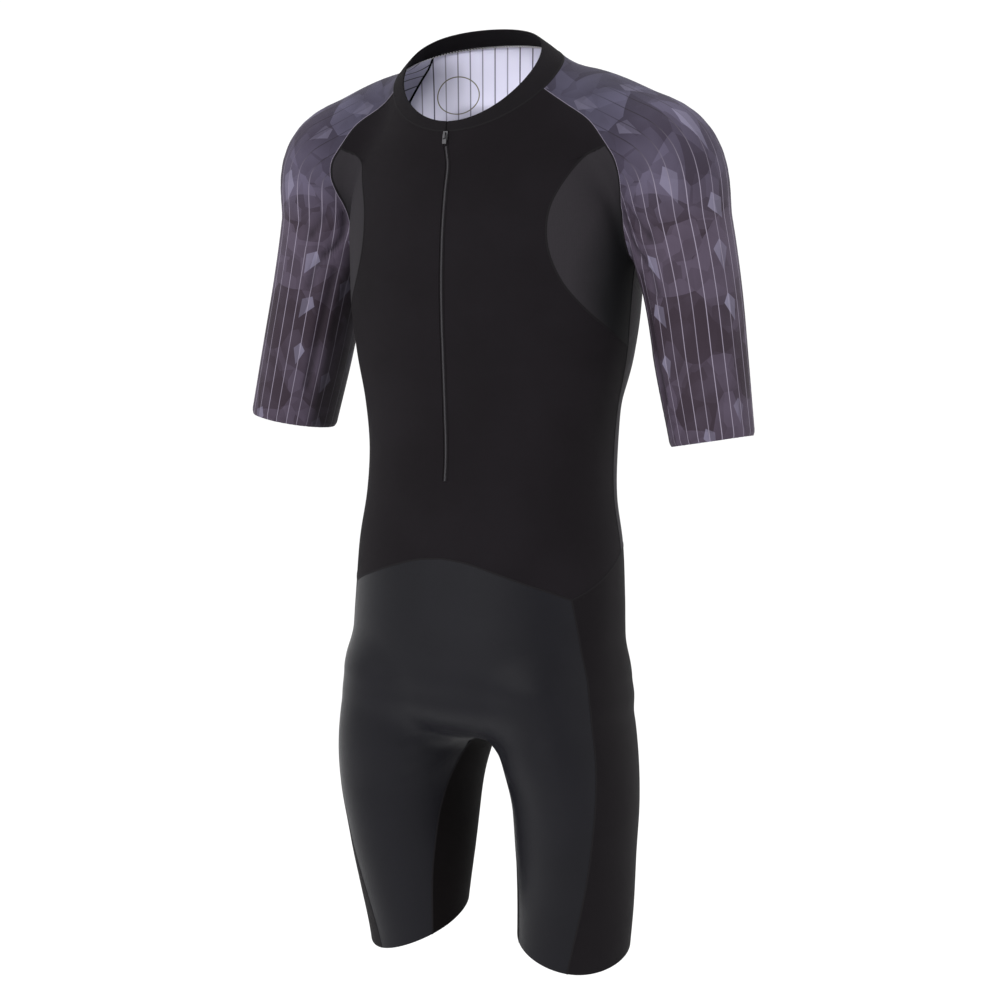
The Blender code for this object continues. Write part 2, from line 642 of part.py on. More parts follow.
def sleeve():
    # Rings from the raglan seam down to the cuff, closed round the arm
    top = chain(neck_shoulder, raglan_back, raglan_front_lower[::-1], raglan_front_upper[::-1])[:-1]
    along, angle, reach = arm_place(top)
    count = len(top)
    cuff_angle = angle[0] + np.sign(angle[-1] - angle[0]) * np.arange(count) * 2 * np.pi / count
    cuff_angle += (angle - cuff_angle).mean()
    steps = np.linspace(0, 1, SLEEVE_ROWS + 1)
    end = cuff_places(cuff_angle)
    rings = []
    for share in steps:
        place = along + (end - along) * share
        turn = angle + (cuff_angle - angle) * share
        centre, front, up = arm_frame(place)
        radius = np.interp(place, np.arange(len(ARM_LINE)), ARM_LINE[:, ARM_RADIUS])
        width = reach + (radius - reach) * min(1.0, share * ROUNDING_RATE)
        rings.append(centre + width[:, None] * (np.cos(turn)[:, None] * front
                                                + np.sin(turn)[:, None] * up))
    grid = np.array(rings)
    grid[0] = top
    grid[1:] = settle(grid[1:])
    on_both_sides("sleeve", grid, grid_faces(*grid.shape[:2], closed=True), PRINT)


def cuff_places(angles):
    # How far along the arm's line the cuff's plane is met in each direction
    places = np.linspace(len(ARM_LINE) * FOREARM_START, len(ARM_LINE) - 1, CUFF_TRIALS)
    centre, front, up = arm_frame(places)
    radius = np.interp(places, np.arange(len(ARM_LINE)), ARM_LINE[:, ARM_RADIUS])
    found = []
    for angle in angles:
        ring = centre + radius[:, None] * (np.cos(angle) * front + np.sin(angle) * up)
        above = ring[:, 2] - plane_height(CUFF, ring[:, 0], ring[:, 1])
        found.append(places[np.argmax(above < 0)])
    return np.array(found)


def shorts_front():
    half = patch(waist_front, hem_front, chain(front_centre, gusset_front), side_front)
    left, right = half, mirror(half[:, ::-1])
    rows, columns = half.shape[:2]
    faces = grid_faces(rows, columns)
    points = np.concatenate([left.reshape(-1, 3), right.reshape(-1, 3)])
    faces = faces + [tuple(k + rows * columns for k in face) for face in faces]
    wall("shorts_front", points, faces, CLOTH, SHINY_BLACK)


def seat():
    grid = patch(chain(waist_side, waist_back), hem_outer, side_front, chain(back_centre, gusset_back))
    on_both_sides("seat", grid, grid_faces(*grid.shape[:2]), BLACK_KNIT)


def gusset():
    grid = patch(crotch[::-1], hem_inner[::-1], gusset_back, gusset_front)
    on_both_sides("gusset", grid, grid_faces(*grid.shape[:2]), GUSSET_BLACK)


def collar():
    # A band from the neck seam up to its free rim, open in the middle of the front
    seam_line = chain(neck_front, neck_shoulder, neck_back)
    angles = np.radians(np.concatenate([
        np.linspace(0, RAGLAN_FRONT_ANGLE, SPANS["neck_front"] + 1)[:-1],
        np.linspace(RAGLAN_FRONT_ANGLE, RAGLAN_BACK_ANGLE, SPANS["neck_shoulder"] + 1)[:-1],
        np.linspace(RAGLAN_BACK_ANGLE, 180, SPANS["neck_back"] + 1)]))
    rim = ring_points(COLLAR_RIM, angles)
    rise = rim - seam_line
    rise /= np.linalg.norm(rise, axis=1)[:, None]
    foot = seam_line + rise * SEAM_GAP
    for border in (foot, rim):
        border[0] += (border[1] - border[0]) * COLLAR_OPENING / 2 / border[1, 0]
    up = np.linspace(1, 0, COLLAR_ROWS + 1)[:, None, None]
    half = foot[None] + (rim - foot)[None] * up
    grid = np.concatenate([half, mirror(half[:, -2::-1])], axis=1)
    down = np.gradient(grid, axis=0)
    across = np.gradient(grid, axis=1)
    normals = np.cross(down, across)
    normals /= np.linalg.norm(normals, axis=2)[:, :, None]
    wall("collar", grid, grid_faces(*grid.shape[:2]), COLLAR_CLOTH, BLACK_KNIT,
         normals.reshape(-1, 3))


def zip_tape(slit_edge):
    # The coil and tape fill the slit and end a gap short of its foot
    half = slit_edge * (0, 1, 1) + (ZIP_TAPE_WIDTH / 2, 0, 0)
    grid = np.stack([mirror(half), half], axis=1)
    wall("zip_tape", grid, grid_faces(*grid.shape[:2]), CLOTH, ZIP_GREY)


def lattice(steps, filled):
    # A closed body of rectangular cells, each named by its place along x, out of the suit and up
    size = [len(step) for step in steps]
    index = {}
    points = []
    faces = []
    for cell in sorted(filled):
        for axis in range(3):
            for side in (0, 1):
                beside = list(cell)
                beside[axis] += 2 * side - 1
                if tuple(beside) in filled:
                    continue
                ring = []
                for u, v in ((0, 0), (1, 0), (1, 1), (0, 1)):
                    at = list(cell)
                    at[axis] += side
                    at[(axis + 1) % 3] += u
                    at[(axis + 2) % 3] += v
                    key = (at[0] * size[1] + at[1]) * size[2] + at[2]
                    if key not in index:
                        index[key] = len(points)
                        points.append([steps[k][at[k]] for k in range(3)])
                    ring.append(index[key])
                faces.append(tuple(ring if side else ring[::-1]))
    return np.array(points), faces


def slider_frame(slit_edge):
    # The middle of the slider's back on the tape, and the ways out of the suit and up
    height = SLIDER["z"]
    y = np.interp(-height, -slit_edge[:, 2], slit_edge[:, 1])
    place = settle(np.array([(0.0, y, height)]))[0]
    out = outward(place[None])[0] * (0, 1, 1)
    out /= np.linalg.norm(out)
    up = np.array((0.0, out[2], -out[1]))
    return place + out * SEAM_GAP, out, up


def metal_piece(name, steps, filled, frame, origin):
    # Cells laid out along x, outward and up become a piece whose own origin is given
    points, faces = lattice(steps, filled)
    place, out, up = frame
    points = place + points[:, :1] * (1, 0, 0) + points[:, 1:2] * out + points[:, 2:] * up
    piece = add_piece(name, [tuple(p) for p in points - origin], [face[::-1] for face in faces],
                      ZIP_METAL, metallic=1.0, sharp=20.0)
    piece.location = origin


def zip_slider(frame):
    # A plate on the tape with a bridge, open from side to side, in front of it
    half = SLIDER["width"] / 2
    arch = SLIDER["bridge_width"] / 2
    tall = SLIDER["height"] / 2
    outer = SLIDER["bridge_height"] / 2
    inner = SLIDER["opening_height"] / 2
    plate = SLIDER["plate"]
    opening = plate + SLIDER["opening_depth"]
    steps = ((-half, -arch, arch, half),
             (0.0, plate, opening, opening + SLIDER["bar"]),
             (-tall, -outer, -inner, inner, outer, tall))
    filled = {(across, 0, level) for across in range(3) for level in range(5)}
    filled |= {(1, 1, 1), (1, 1, 3)}
    filled |= {(1, 2, level) for level in (1, 2, 3)}
    metal_piece("zip_slider", steps, filled, frame, np.zeros(3))


def zip_pull(frame):
    # A tongue below a frame whose top bar passes through the slider's bridge
    place, out, up = frame
    axis = place + out * (SLIDER["plate"] + SLIDER["opening_depth"] / 2) + up * PULL["axis_up"]
    half = PULL["width"] / 2
    bar = PULL["bar"]
    slim = PULL["thickness"] / 2
    window = -PULL["window"]
    steps = ((-half, bar - half, half - bar, half), (-slim, slim),
             (-PULL["length"], window, -bar / 2, bar / 2))
    filled = {(across, 0, level) for across in range(3) for level in (0, 2)}
    filled |= {(0, 0, 1), (2, 0, 1)}
    metal_piece("zip_pull", steps, filled, (axis, out, up), axis)


slit_edge = front_bodice()
zip_tape(slit_edge)
slider_place = slider_frame(slit_edge)
zip_slider(slider_place)
zip_pull(slider_place)
back_bodice()
side_insert()
sleeve()
collar()
shorts_front()
seat()
gusset()
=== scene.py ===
import bmesh
import bpy
import numpy as np
from mathutils import Matrix


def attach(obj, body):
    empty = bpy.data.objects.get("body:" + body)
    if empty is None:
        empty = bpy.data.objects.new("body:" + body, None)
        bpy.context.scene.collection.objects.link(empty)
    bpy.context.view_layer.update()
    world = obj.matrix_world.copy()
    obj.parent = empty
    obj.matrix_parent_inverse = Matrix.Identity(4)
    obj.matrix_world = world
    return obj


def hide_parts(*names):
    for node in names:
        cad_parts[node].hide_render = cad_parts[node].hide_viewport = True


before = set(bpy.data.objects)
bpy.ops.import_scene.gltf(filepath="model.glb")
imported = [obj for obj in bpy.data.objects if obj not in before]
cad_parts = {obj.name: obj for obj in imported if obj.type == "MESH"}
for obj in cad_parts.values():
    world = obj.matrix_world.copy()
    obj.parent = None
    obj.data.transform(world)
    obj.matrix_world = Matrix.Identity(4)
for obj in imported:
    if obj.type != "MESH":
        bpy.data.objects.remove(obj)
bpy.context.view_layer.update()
scene = bpy.context.scene
detail = 5  # fine spans for each span of the plain solids
mm = 0.001
print("frame loaded")

# Sections of the filled suit, in millimetres. Torso and leg rows: height, centre x, centre y, half
# width, front, back, and turn in degrees. Arm rows: x, y, z, radius, and how far pressed flat.
sections = {
    "torso": (
        (-30, 0, -6, 100, 55, 62, 0),
        (-60, 0, -2, 136, 76, 90, 0),
        (-100, 0, 0, 155, 94, 108, 0),
        (-150, 0, 2, 166, 106, 116, 0),
        (-200, 0, 3, 166, 111, 117, 0),
        (-250, 0, 3, 164, 111, 113, 0),
        (-300, 0, 2, 157, 107, 108, 0),
        (-350, 0, 0, 146, 102, 101, 0),
        (-400, 0, -1, 141, 99, 99, 0),
        (-450, 0, -4, 142, 101, 99, 0),
        (-500, 0, -6, 150, 104, 103, 0),
        (-560, 0, -9, 154, 105, 107, 0),
        (-610, 0, -12, 156, 105, 112, 0),
        (-640, 0, -13, 159, 104, 116, 0),
        (-662, 0, -12, 160, 100, 116, 0)),
    "leg": (
        (-650, 83, -6, 71, 104, 108, 12),
        (-692, 90.5, -3.5, 75.5, 102, 106, 14),
        (-720, 95, -3, 75, 100, 104, 15),
        (-780, 104, -1, 69.5, 88, 90, 18),
        (-840, 104, 1, 66, 76, 76, 22),
        (-900, 103, 2, 64, 62, 62, 30),
        (-960, 100, 2, 62, 52, 52, 33),
        (-1000, 98, 2, 61, 50, 50, 33)),
    "arm": (
        (50, 3, -34, 46, 0),
        (110, 5, -48.5, 54, 0),
        (165, 4, -71.5, 56.2, 0),
        (199, 4, -91.5, 60, 0),
        (216.8, 11, -160, 55.7, 0),
        (233, 11, -230, 52, 0.01),
        (246, 6, -300, 50, 0.03),
        (264, -1, -390, 46, 0.06),
        (275, -6, -450, 45, 0.06)),
}
# How they are squared, ended and blended, in metres
suitForm = {
    "torsoSquareness": 2.3, "legSquareness": 2.0, "dome": 0.056, "armSteps": 60, "neckBlend": 0.022,
    "hipBlend": 0.024, "crotchBlend": 0.02, "armBlendHeights": (-0.19, -0.12),
    "armBlend": (0.009, 0.02), "neckFloor": -0.085, "flareFront": 0.25, "flareBack": 0.95,
    "flareReach": 0.03, "legsBelow": -0.45, "settleSteps": 6, "fineStep": 0.0005, "broadStep": 0.004,
}
neckSeam = {"halfWidth": 0.096, "halfDepth": 0.064, "centreY": -0.033,
            "middle": -0.008, "rise": 0.047, "dip": -0.0065}
collarRim = {"halfWidth": 0.081, "halfDepth": 0.052, "centreY": -0.044,
             "middle": 0.0045, "rise": 0.050, "dip": -0.0065}

# The wearer's right leg ends a little lower: how far, and the heights it is stretched between
rightLeg = {"drop": 0.0080, "start": -0.760, "full": -0.915}

# Folds and creases on the wearer's left half, and the same on the right. Each row: reach to each
# side, depth, and the points it runs through, in millimetres. A ridge has a depth below zero. The
# broad folds are part of the form: armpit front and back, small of the back, under the seat.
folds = (
    (15, 3, (184, -34, -158), (206, -50, -236)),
    (16, 3.2, (186, 40, -172), (212, 52, -252)),
    (18, 3, (150, 50, -352), (96, 88, -392)),
    (16, 2.6, (98, 103, -696), (52, 109, -714)),
)
# The small creases are pressed into each cloth
creases = (
    # armpit, front: the groove beside the seam and the small crumples round it
    (4, 3.4, (172.7, -29.5, -147.3), (174.4, -25.9, -159.6), (177.6, -25.2, -171.9),
     (184.5, -27.2, -183.1), (194.8, -31.7, -192.2)),
    (4.5, -1.6, (181, -34, -152), (196.5, -37.7, -171), (208, -40.1, -183.7)),
    (4, 1.8, (190, -38, -150), (204, -42, -167), (215, -45, -180)),
    (5.2, 2.2, (199, -33.2, -196.2), (208.5, -36.1, -209.3), (213.3, -36.2, -226.6)),
    (5.5, 1.3, (228, -46, -155), (212, -46, -160), (204, -42, -174)),
    # the long crease down the front of the arm, and the soft rolls beside it
    (5.8, 2.8, (189.1, -23.8, -212), (195.4, -24.5, -232.1), (201.5, -25.8, -254.4),
     (209.5, -28.5, -288), (216.6, -30.5, -316.2), (221.9, -31, -338.8)),
    (8, -1.2, (199, -33, -220), (208.5, -34.5, -254), (218.5, -37, -298)),
    (5.5, 1.4, (184.1, -11.3, -226.7), (191.6, -12.6, -254.7), (198.1, -15.3, -282.8)),
    # armpit, back
    (7.5, 1.3, (234, 60, -160), (220, 56, -172), (212, 52, -190)),
    (7.5, 1.4, (204, 44, -226), (211, 48, -248), (216, 50, -276)),
    # small of the back, and beside it
    (11, 1.6, (146, 52, -392), (112, 82, -412), (70, 94, -420)),
    (12, 1.4, (60, 100, -350), (30, 104, -372)),
    # under the seat, and the swell inside the pad's edge
    (8, 1, (34, -58, -735), (48, -64, -752), (66, -76, -760)),
    (7, -1.4, (26, -50, -726), (40, -70, -720), (52, -77, -724)),
)
# The pad's edge: an arc on the inner thigh, and the edge on the front
padEdges = (
    (3.2, 1.4, (19.6, -17.4, -727), (22, -45.9, -718.2), (29.8, -64.8, -712), (42, -76.2, -708.8),
     (57.2, -82.7, -714.8), (63.8, -86.5, -719.3)),
    (5, 0.7, (0, -80, -709), (18, -79, -709), (29.8, -70, -710)),
)


def smoothCurve(knots, values, where):
    # Cubic Hermite curve through the values, each slope taken from both neighbours
    slopes = np.gradient(values, knots, axis=0)
    where = np.clip(where, knots[0], knots[-1])
    span = np.clip(np.searchsorted(knots, where) - 1, 0, len(knots) - 2)
    width = knots[span + 1] - knots[span]
    t = (where - knots[span]) / width
    if values.ndim == 2:
        width = width[:, None]
        t = t[:, None]
    rest = 1 - t
    return (values[span] * (1 + 2 * t) * rest ** 2 + values[span + 1] * (3 - 2 * t) * t ** 2
            + slopes[span] * width * t * rest ** 2 - slopes[span + 1] * width * t ** 2 * rest)


def unit(vectors):
    # Vectors made one long; those without a length stay so
    return vectors / (np.linalg.norm(vectors, axis=-1, keepdims=True) + 1e-12)


def walked(points):
    # Length along the points so far
    return np.append(0, np.cumsum(np.linalg.norm(np.diff(points, axis=0), axis=1)))


def arcShare(points):
    # Length so far over the whole length
    return walked(points) / walked(points)[-1]


def fade(values, start, end):
    # 0 at the start and 1 at the end
    return np.clip((values - start) / (end - start), 0, 1)


def smoothUnion(first, second, radius):
    # The lesser of two distances, rounded where they are within a radius of each other
    mix = np.clip(0.5 + 0.5 * (second - first) / radius, 0.0, 1.0)
    return second + (first - second) * mix - radius * mix * (1.0 - mix)


def rowTable(rows):
    # The lengths in metres; the last column, an angle or a share, as it is
    rows = np.array(rows, dtype=float)
    rows[:, :-1] *= mm
    return rows


torsoRows, legRows = rowTable(sorted(sections["torso"])), rowTable(sorted(sections["leg"]))
armRows = rowTable(sections["arm"])
armChord = walked(armRows[:, :3])
armLine = smoothCurve(armChord, armRows, np.linspace(0, armChord[-1], suitForm["armSteps"] + 1))


def sectionDistance(points, rows, squareness):
    # Radial distance to the level's superellipse |x/a|^n + |y/b|^n = 1, with a dome past each end
    z = np.clip(points[:, 2], rows[0, 0], rows[-1, 0])
    centreX, centreY, halfWidth, front, back, turn = smoothCurve(rows[:, 0], rows[:, 1:], z).T
    turn = np.radians(turn)
    east, north = points[:, 0] - centreX, points[:, 1] - centreY
    across = east * np.cos(turn) + north * np.sin(turn)
    deep = north * np.cos(turn) - east * np.sin(turn)
    depth = np.where(deep < 0, front, back)
    past = points[:, 2] - z
    ring = np.abs(across / halfWidth) ** squareness + np.abs(deep / depth) ** squareness
    share = np.sqrt(ring ** (2 / squareness) + (past / suitForm["dome"]) ** 2) + 1e-9
    return np.sqrt(across ** 2 + deep ** 2 + past ** 2) * (1 - 1 / share)


def ringHeight(ring, forward):
    # middle - rise cos a + dip cos 2a, where "forward" is cos a from the front
    return ring["middle"] - ring["rise"] * forward + ring["dip"] * (2 * forward ** 2 - 1)


def ringPoints(ring, angles):
    # An oval seen from above, whose height follows ringHeight
    forward = np.cos(angles)
    return np.stack([ring["halfWidth"] * np.sin(angles), ring["centreY"] - ring["halfDepth"] * forward,
                     ringHeight(ring, forward)], axis=1)


def neckDistance(points):
    # A cone through the neck seam that flares as it drops, cut off at a floor inside the chest
    across = points[:, 0] / neckSeam["halfWidth"]
    deep = (points[:, 1] - neckSeam["centreY"]) / neckSeam["halfDepth"]
    share = np.hypot(across, deep) + 1e-9
    forward = -deep / share
    radius = np.hypot(points[:, 0], points[:, 1] - neckSeam["centreY"]) / share
    drop = ringHeight(neckSeam, forward) - points[:, 2]
    flare = suitForm["flareFront"] + (suitForm["flareBack"] - suitForm["flareFront"]) * (1 - forward) / 2
    cone = radius * (share - 1) - flare * drop / (1 + np.abs(drop) / suitForm["flareReach"])
    return -smoothUnion(-cone, points[:, 2] - suitForm["neckFloor"], suitForm["neckBlend"])


def onLeft(points):
    return np.concatenate([np.abs(points[:, :1]), points[:, 1:]], axis=1)


def nearestPlace(points, line):
    # Share of the way along each piece of a line to its place nearest each point, and the offset
    start, step = line[:-1, :3], np.diff(line[:, :3], axis=0)
    offset = points[:, None] - start[None]
    share = np.clip((offset * step[None]).sum(axis=2) / (step ** 2).sum(axis=1), 0, 1)
    return share, offset - share[:, :, None] * step[None]


def armDistance(points):
    # Distance to a tube about the arm's line, whose radius changes with the place along it
    start, step = armLine[:-1], np.diff(armLine, axis=0)
    share, nearest = nearestPlace(points, armLine)
    reach = np.linalg.norm(nearest, axis=2)
    skew = -2 * nearest[:, :, 0] * nearest[:, :, 1] / (reach ** 2 + 1e-12)
    radius = (start[:, 3] + share * step[:, 3]) * (1 + (start[:, 4] + share * step[:, 4]) * skew)
    return (reach - radius).min(axis=1)


def creaseDepth(points, lines):
    # Sum of depth * exp(-(gap / reach)^2), with the gap to the nearest piece of each crease's line
    total = np.zeros(len(points))
    left = onLeft(points)
    for reach, depth, *line in lines:
        reach, depth, line = reach * mm, depth * mm, np.array(line) * mm
        near = np.all((left > line.min(axis=0) - 3 * reach) & (left < line.max(axis=0) + 3 * reach), axis=1)
        gap = np.linalg.norm(nearestPlace(left[near], line)[1], axis=2).min(axis=1)
        total[near] += depth * np.exp(-(gap / reach) ** 2)
    return total


def form(points):
    # Torso, legs, neck and arm melted together: below zero inside the suit
    left = onLeft(points)
    body = sectionDistance(left, torsoRows, suitForm["torsoSquareness"])
    low = left[:, 2] < suitForm["legsBelow"]
    if low.any():
        legs = [sectionDistance(left[low] * (side, 1, 1), legRows, suitForm["legSquareness"])
                for side in (1, -1)]
        legs = smoothUnion(*legs, suitForm["crotchBlend"])
        body[low] = smoothUnion(body[low], legs, suitForm["hipBlend"])
    if not low.all():
        upper = left[~low]
        part = smoothUnion(body[~low], neckDistance(upper), suitForm["neckBlend"])
        blend = np.interp(upper[:, 2], suitForm["armBlendHeights"], suitForm["armBlend"])
        body[~low] = smoothUnion(part, armDistance(upper), blend)
    return body + creaseDepth(left, folds)


def slope(points, step):
    # Central differences of the form along x, y and z
    return np.stack([(form(points + step * axis) - form(points - step * axis)) / (2 * step)
                     for axis in np.eye(3)], axis=1)


def settle(points, steps=None):
    # Newton steps along the form's slope until the points lie on it
    shape = points.shape
    points = points.reshape(-1, 3)
    for _ in range(steps or suitForm["settleSteps"]):
        grade = slope(points, suitForm["fineStep"])
        points = points - form(points)[:, None] * grade / (grade ** 2).sum(axis=1)[:, None]
    return points.reshape(shape)


def outward(points):
    # The form's slope over a broad step, made one long: it halves the angle of a crease
    return unit(slope(points.reshape(-1, 3), suitForm["broadStep"])).reshape(points.shape)


# How dark the floor of a small crease is, and the depths where the shade starts and is full
creaseShade = {"most": 0.6, "start": 0.0006, "full": 0.0030}


def press(points, normal):
    # The small creases pressed into points of the cloth, against its outward direction, and the
    # shade in them
    depth = creaseDepth(points, creases + padEdges)
    shade = creaseShade["most"] * fade(depth, creaseShade["start"], creaseShade["full"])
    return points - depth[:, None] * normal, shade


def fallShare(points):
    # Drop so far over the whole drop
    return (points[0, 2] - points[:, 2]) / (points[0, 2] - points[-1, 2])


def alongLine(values, line, shares):
    # Values given at a line's points, read at shares of its length
    own = arcShare(line)
    return np.stack([np.interp(shares, own, column) for column in values.T], axis=1)


def resample(points, shares):
    return alongLine(points, points, shares)


def seamLine(route, spans):
    # A smooth curve through the route, settled on the form and cut into equal spans
    route = np.array(route)
    route[1:-1] = settle(route[1:-1], 10)
    dense = settle(smoothCurve(arcShare(route), route, np.linspace(0, 1, 400)), 10)
    line = settle(resample(dense, np.linspace(0, 1, spans + 1)))
    line[0], line[-1] = route[0], route[-1]
    return line


def chain(*lines):
    return np.concatenate([lines[0]] + [line[1:] for line in lines[1:]])


def mirror(points):
    return points * (-1, 1, 1)


def bothHalves(half):
    # A left half that starts at its open middle edge, with the right half before it
    return np.concatenate([mirror(half[:, ::-1]), half], axis=1)


def refine(grid):
    # Smooth curves through the grid's points, along the columns and then along the rows
    for _ in range(2):
        count = len(grid)
        fine = np.linspace(0, count - 1, (count - 1) * detail + 1)
        flat = smoothCurve(np.arange(count) * 1.0, grid.reshape(count, -1), fine)
        grid = flat.reshape(len(fine), -1, 3).swapaxes(0, 1)
    return grid


def panelGrid(top, bottom, left, right, wane=1.0):
    # Coons patch on the plain solids' border points: rows run straight from left to right border,
    # plus the bow of the top and bottom border, which wanes. Each row is spaced as the borders are
    # and settled. The patch is then refined and takes the whole borders.
    borders = top, bottom, left, right
    top, bottom, left, right = (border[::detail] for border in borders)
    across = (arcShare(top) + arcShare(bottom)) / 2
    down = (arcShare(left)[:, None] + arcShare(right)[:, None]) / 2
    u = across[None, :, None] * np.ones((len(left), 1, 1))
    v = down[:, :, None] * np.ones((1, len(top), 1))
    topBow = top[None] - (1 - u) * top[0] - u * top[-1]
    bottomBow = bottom[None] - (1 - u) * bottom[0] - u * bottom[-1]
    grid = ((1 - u) * left[:, None] + u * right[:, None]
            + (1 - v) ** wane * topBow + v ** wane * bottomBow)
    grid[0], grid[-1], grid[:, 0], grid[:, -1] = top, bottom, left, right
    grid[1:-1, 1:-1] = settle(grid[1:-1, 1:-1], 10)
    for _ in range(3):
        for row in grid[1:-1]:
            row[1:-1] = resample(row, across)[1:-1]
        grid[1:-1, 1:-1] = settle(grid[1:-1, 1:-1], 10)
    grid = refine(grid)
    grid[0], grid[-1], grid[:, 0], grid[:, -1] = borders
    grid[1:-1, 1:-1] = settle(grid[1:-1, 1:-1])
    return grid


# Seams: corner points and the places each seam passes, in millimetres, on the left half. Seams
# that end in the neck or a hem find their corner there.
corners = {
    "insertTop": (162, -53, -77), "underarm": (168, 10, -200), "insertLow": (160, 9, -286),
    "sideWaist": (150, 16, -508), "frontWaist": (0, -111, -509), "backWaist": (0, 100, -488),
    "shortsCorner": (134, -68, -549), "crotchFront": (0, -8, -723), "crotchBack": (0, 75, -700),
}
routes = {
    "raglanFrontUpper": ("frontNeck", (112, -49, -34), (143, -50, -54), "insertTop"),
    "raglanFrontLower": ("insertTop", (172, -53, -92), (175, -50, -108), (173, -43, -123),
        (169, -33, -140), (168, -25, -160), (168, -14, -182), (168, -3, -195), "underarm"),
    "raglanBack": ("backNeck", (108, 32, 2), (140, 47, -34), (162, 56, -75), (173, 57, -115),
        (172, 50, -141), (167, 40, -164), (167, 31, -183), (168, 21, -195), "underarm"),
    "insertArc": ("insertTop", (141, -53, -86), (124, -66, -110), (112, -82, -145), (112, -85, -176),
        (125, -79, -214), (146, -58, -247), (159, -30, -268), "insertLow"),
    "sideUpper": ("underarm", (166, 8, -211), (165, 5, -235), (163, 5, -260), "insertLow"),
    "sideLower": ("insertLow", (143, 14, -350), (137, 15, -420), "sideWaist"),
    "waistFront": ("frontWaist", (28, -110, -512), (62, -106, -521), (96, -95, -532.5),
        (117, -83, -540.5), "shortsCorner"),
    "waistSide": ("shortsCorner", (145, -49, -540), (151, -16, -524), "sideWaist"),
    "waistBack": ("sideWaist", (125, 66, -496), (70, 92, -490), "backWaist"),
    "frontCentre": ("frontWaist", (0, -109, -580), (0, -108, -650), (0, -85, -705), (0, -45, -722),
        "crotchFront"),
    "backCentre": ("backWaist", (0, 108, -540), (0, 112, -610), (0, 103, -665), "crotchBack"),
    "crotch": ("crotchFront", (0, 35, -720), "crotchBack"),
    "sideFront": ("shortsCorner", (145, -64, -602), (154, -65, -655), (158, -63, -718), (155, -60, -795),
        (144, -54, -864), "hemSide"),
    "gussetFront": ("crotchFront", (24, -22, -742), (43, -36, -793), (52, -41, -850), "hemFront"),
    "gussetBack": ("crotchBack", (26, 68, -735), (44, 58, -790), (53, 48, -850), "hemBack"),
}
spans = {"neckFront": 12, "neckShoulder": 4, "neckBack": 8, "raglanFrontUpper": 4, "raglanFrontLower": 6,
         "raglanBack": 13, "sideUpper": 4, "sideLower": 9, "waistFront": 8, "waistSide": 4,
         "frontCentre": 12, "gussetFront": 9, "crotch": 5, "insertAcross": 5, "sleeveRows": 26}
spans = {name: count * detail for name, count in spans.items()}
neckAngles = {"front": 70.0, "back": 126.0}  # from the front, where the raglan seams reach the neck
legHem = {"reach": 0.060, "x": 0.100, "y": 0.0, "z": -0.938, "riseX": -0.29, "riseY": 0.35,
          "sideFront": 22.0, "gussetFront": -48.0, "gussetBack": -140.0}
cuff = {"x": 0.263, "y": 0.0, "z": -0.381, "riseX": 0.18, "riseY": -0.03, "searchFrom": 0.6}

corner = {name: settle(np.array([place]) * mm, 10)[0] for name, place in corners.items()}


def seam(name, count=None):
    route = [corner[place] if isinstance(place, str) else np.array(place) * mm for place in routes[name]]
    return seamLine(route, count or spans[name])


def neckLine(start, end, count):
    return settle(ringPoints(neckSeam, np.radians(np.linspace(start, end, count + 1))), 10)


def planeHeight(plane, x, y):
    return plane["z"] + plane["riseX"] * (x - plane["x"]) + plane["riseY"] * (y - plane["y"])


def hemLine(start, end, count):
    # Directions round the leg's middle, put on the hem's sloping plane and settled
    angles = np.radians(np.linspace(start, end, count * 4 + 1))
    x = legHem["x"] + legHem["reach"] * np.sin(angles)
    y = legHem["y"] - legHem["reach"] * np.cos(angles)
    line = settle(np.stack([x, y, planeHeight(legHem, x, y)], axis=1), 10)
    return resample(line, np.linspace(0, 1, count + 1))


neckFront = neckLine(0.0, neckAngles["front"], spans["neckFront"])
neckShoulder = neckLine(neckAngles["front"], neckAngles["back"], spans["neckShoulder"])
neckBack = neckLine(neckAngles["back"], 180.0, spans["neckBack"])
hemFront = hemLine(legHem["gussetFront"], legHem["sideFront"], spans["waistFront"])
hemOuter = hemLine(legHem["sideFront"], 360.0 + legHem["gussetBack"], spans["waistSide"] + spans["neckBack"])
hemInner = hemLine(legHem["gussetFront"], legHem["gussetBack"], spans["crotch"])
corner.update(frontNeck=neckFront[-1], backNeck=neckBack[0], hemFront=hemFront[0], hemSide=hemFront[-1],
              hemBack=hemOuter[-1])
raglanFrontUpper, raglanFrontLower = seam("raglanFrontUpper"), seam("raglanFrontLower")
raglanBack = seam("raglanBack")
insertArc = seam("insertArc", spans["raglanFrontLower"] + spans["sideUpper"])
sideUpper, sideLower = seam("sideUpper"), seam("sideLower")
waistFront, waistSide = seam("waistFront"), seam("waistSide")
waistBack = seam("waistBack", spans["neckBack"])
frontCentre, crotch, gussetFront = seam("frontCentre"), seam("crotch"), seam("gussetFront")
backCentre = seam("backCentre", spans["frontCentre"])
gussetBack = seam("gussetBack", spans["gussetFront"])
sideFront = seam("sideFront", spans["frontCentre"] + spans["gussetFront"])
print("seams laid")


def plug(value, socket):
    # A number or a colour is set in a socket, another node's output is linked to it
    value = getattr(value, "socket", value)
    if isinstance(value, bpy.types.NodeSocket):
        socket.id_data.links.new(value, socket)
    else:
        socket.default_value = value


def node(tree, kind, links=None, **values):
    # A node with its properties set and its inputs filled, by name or number
    made = tree.nodes.new(kind)
    for key, value in values.items():
        setattr(made, key, value)
    for key, value in (links or {}).items():
        plug(value, made.inputs[key])
    return made


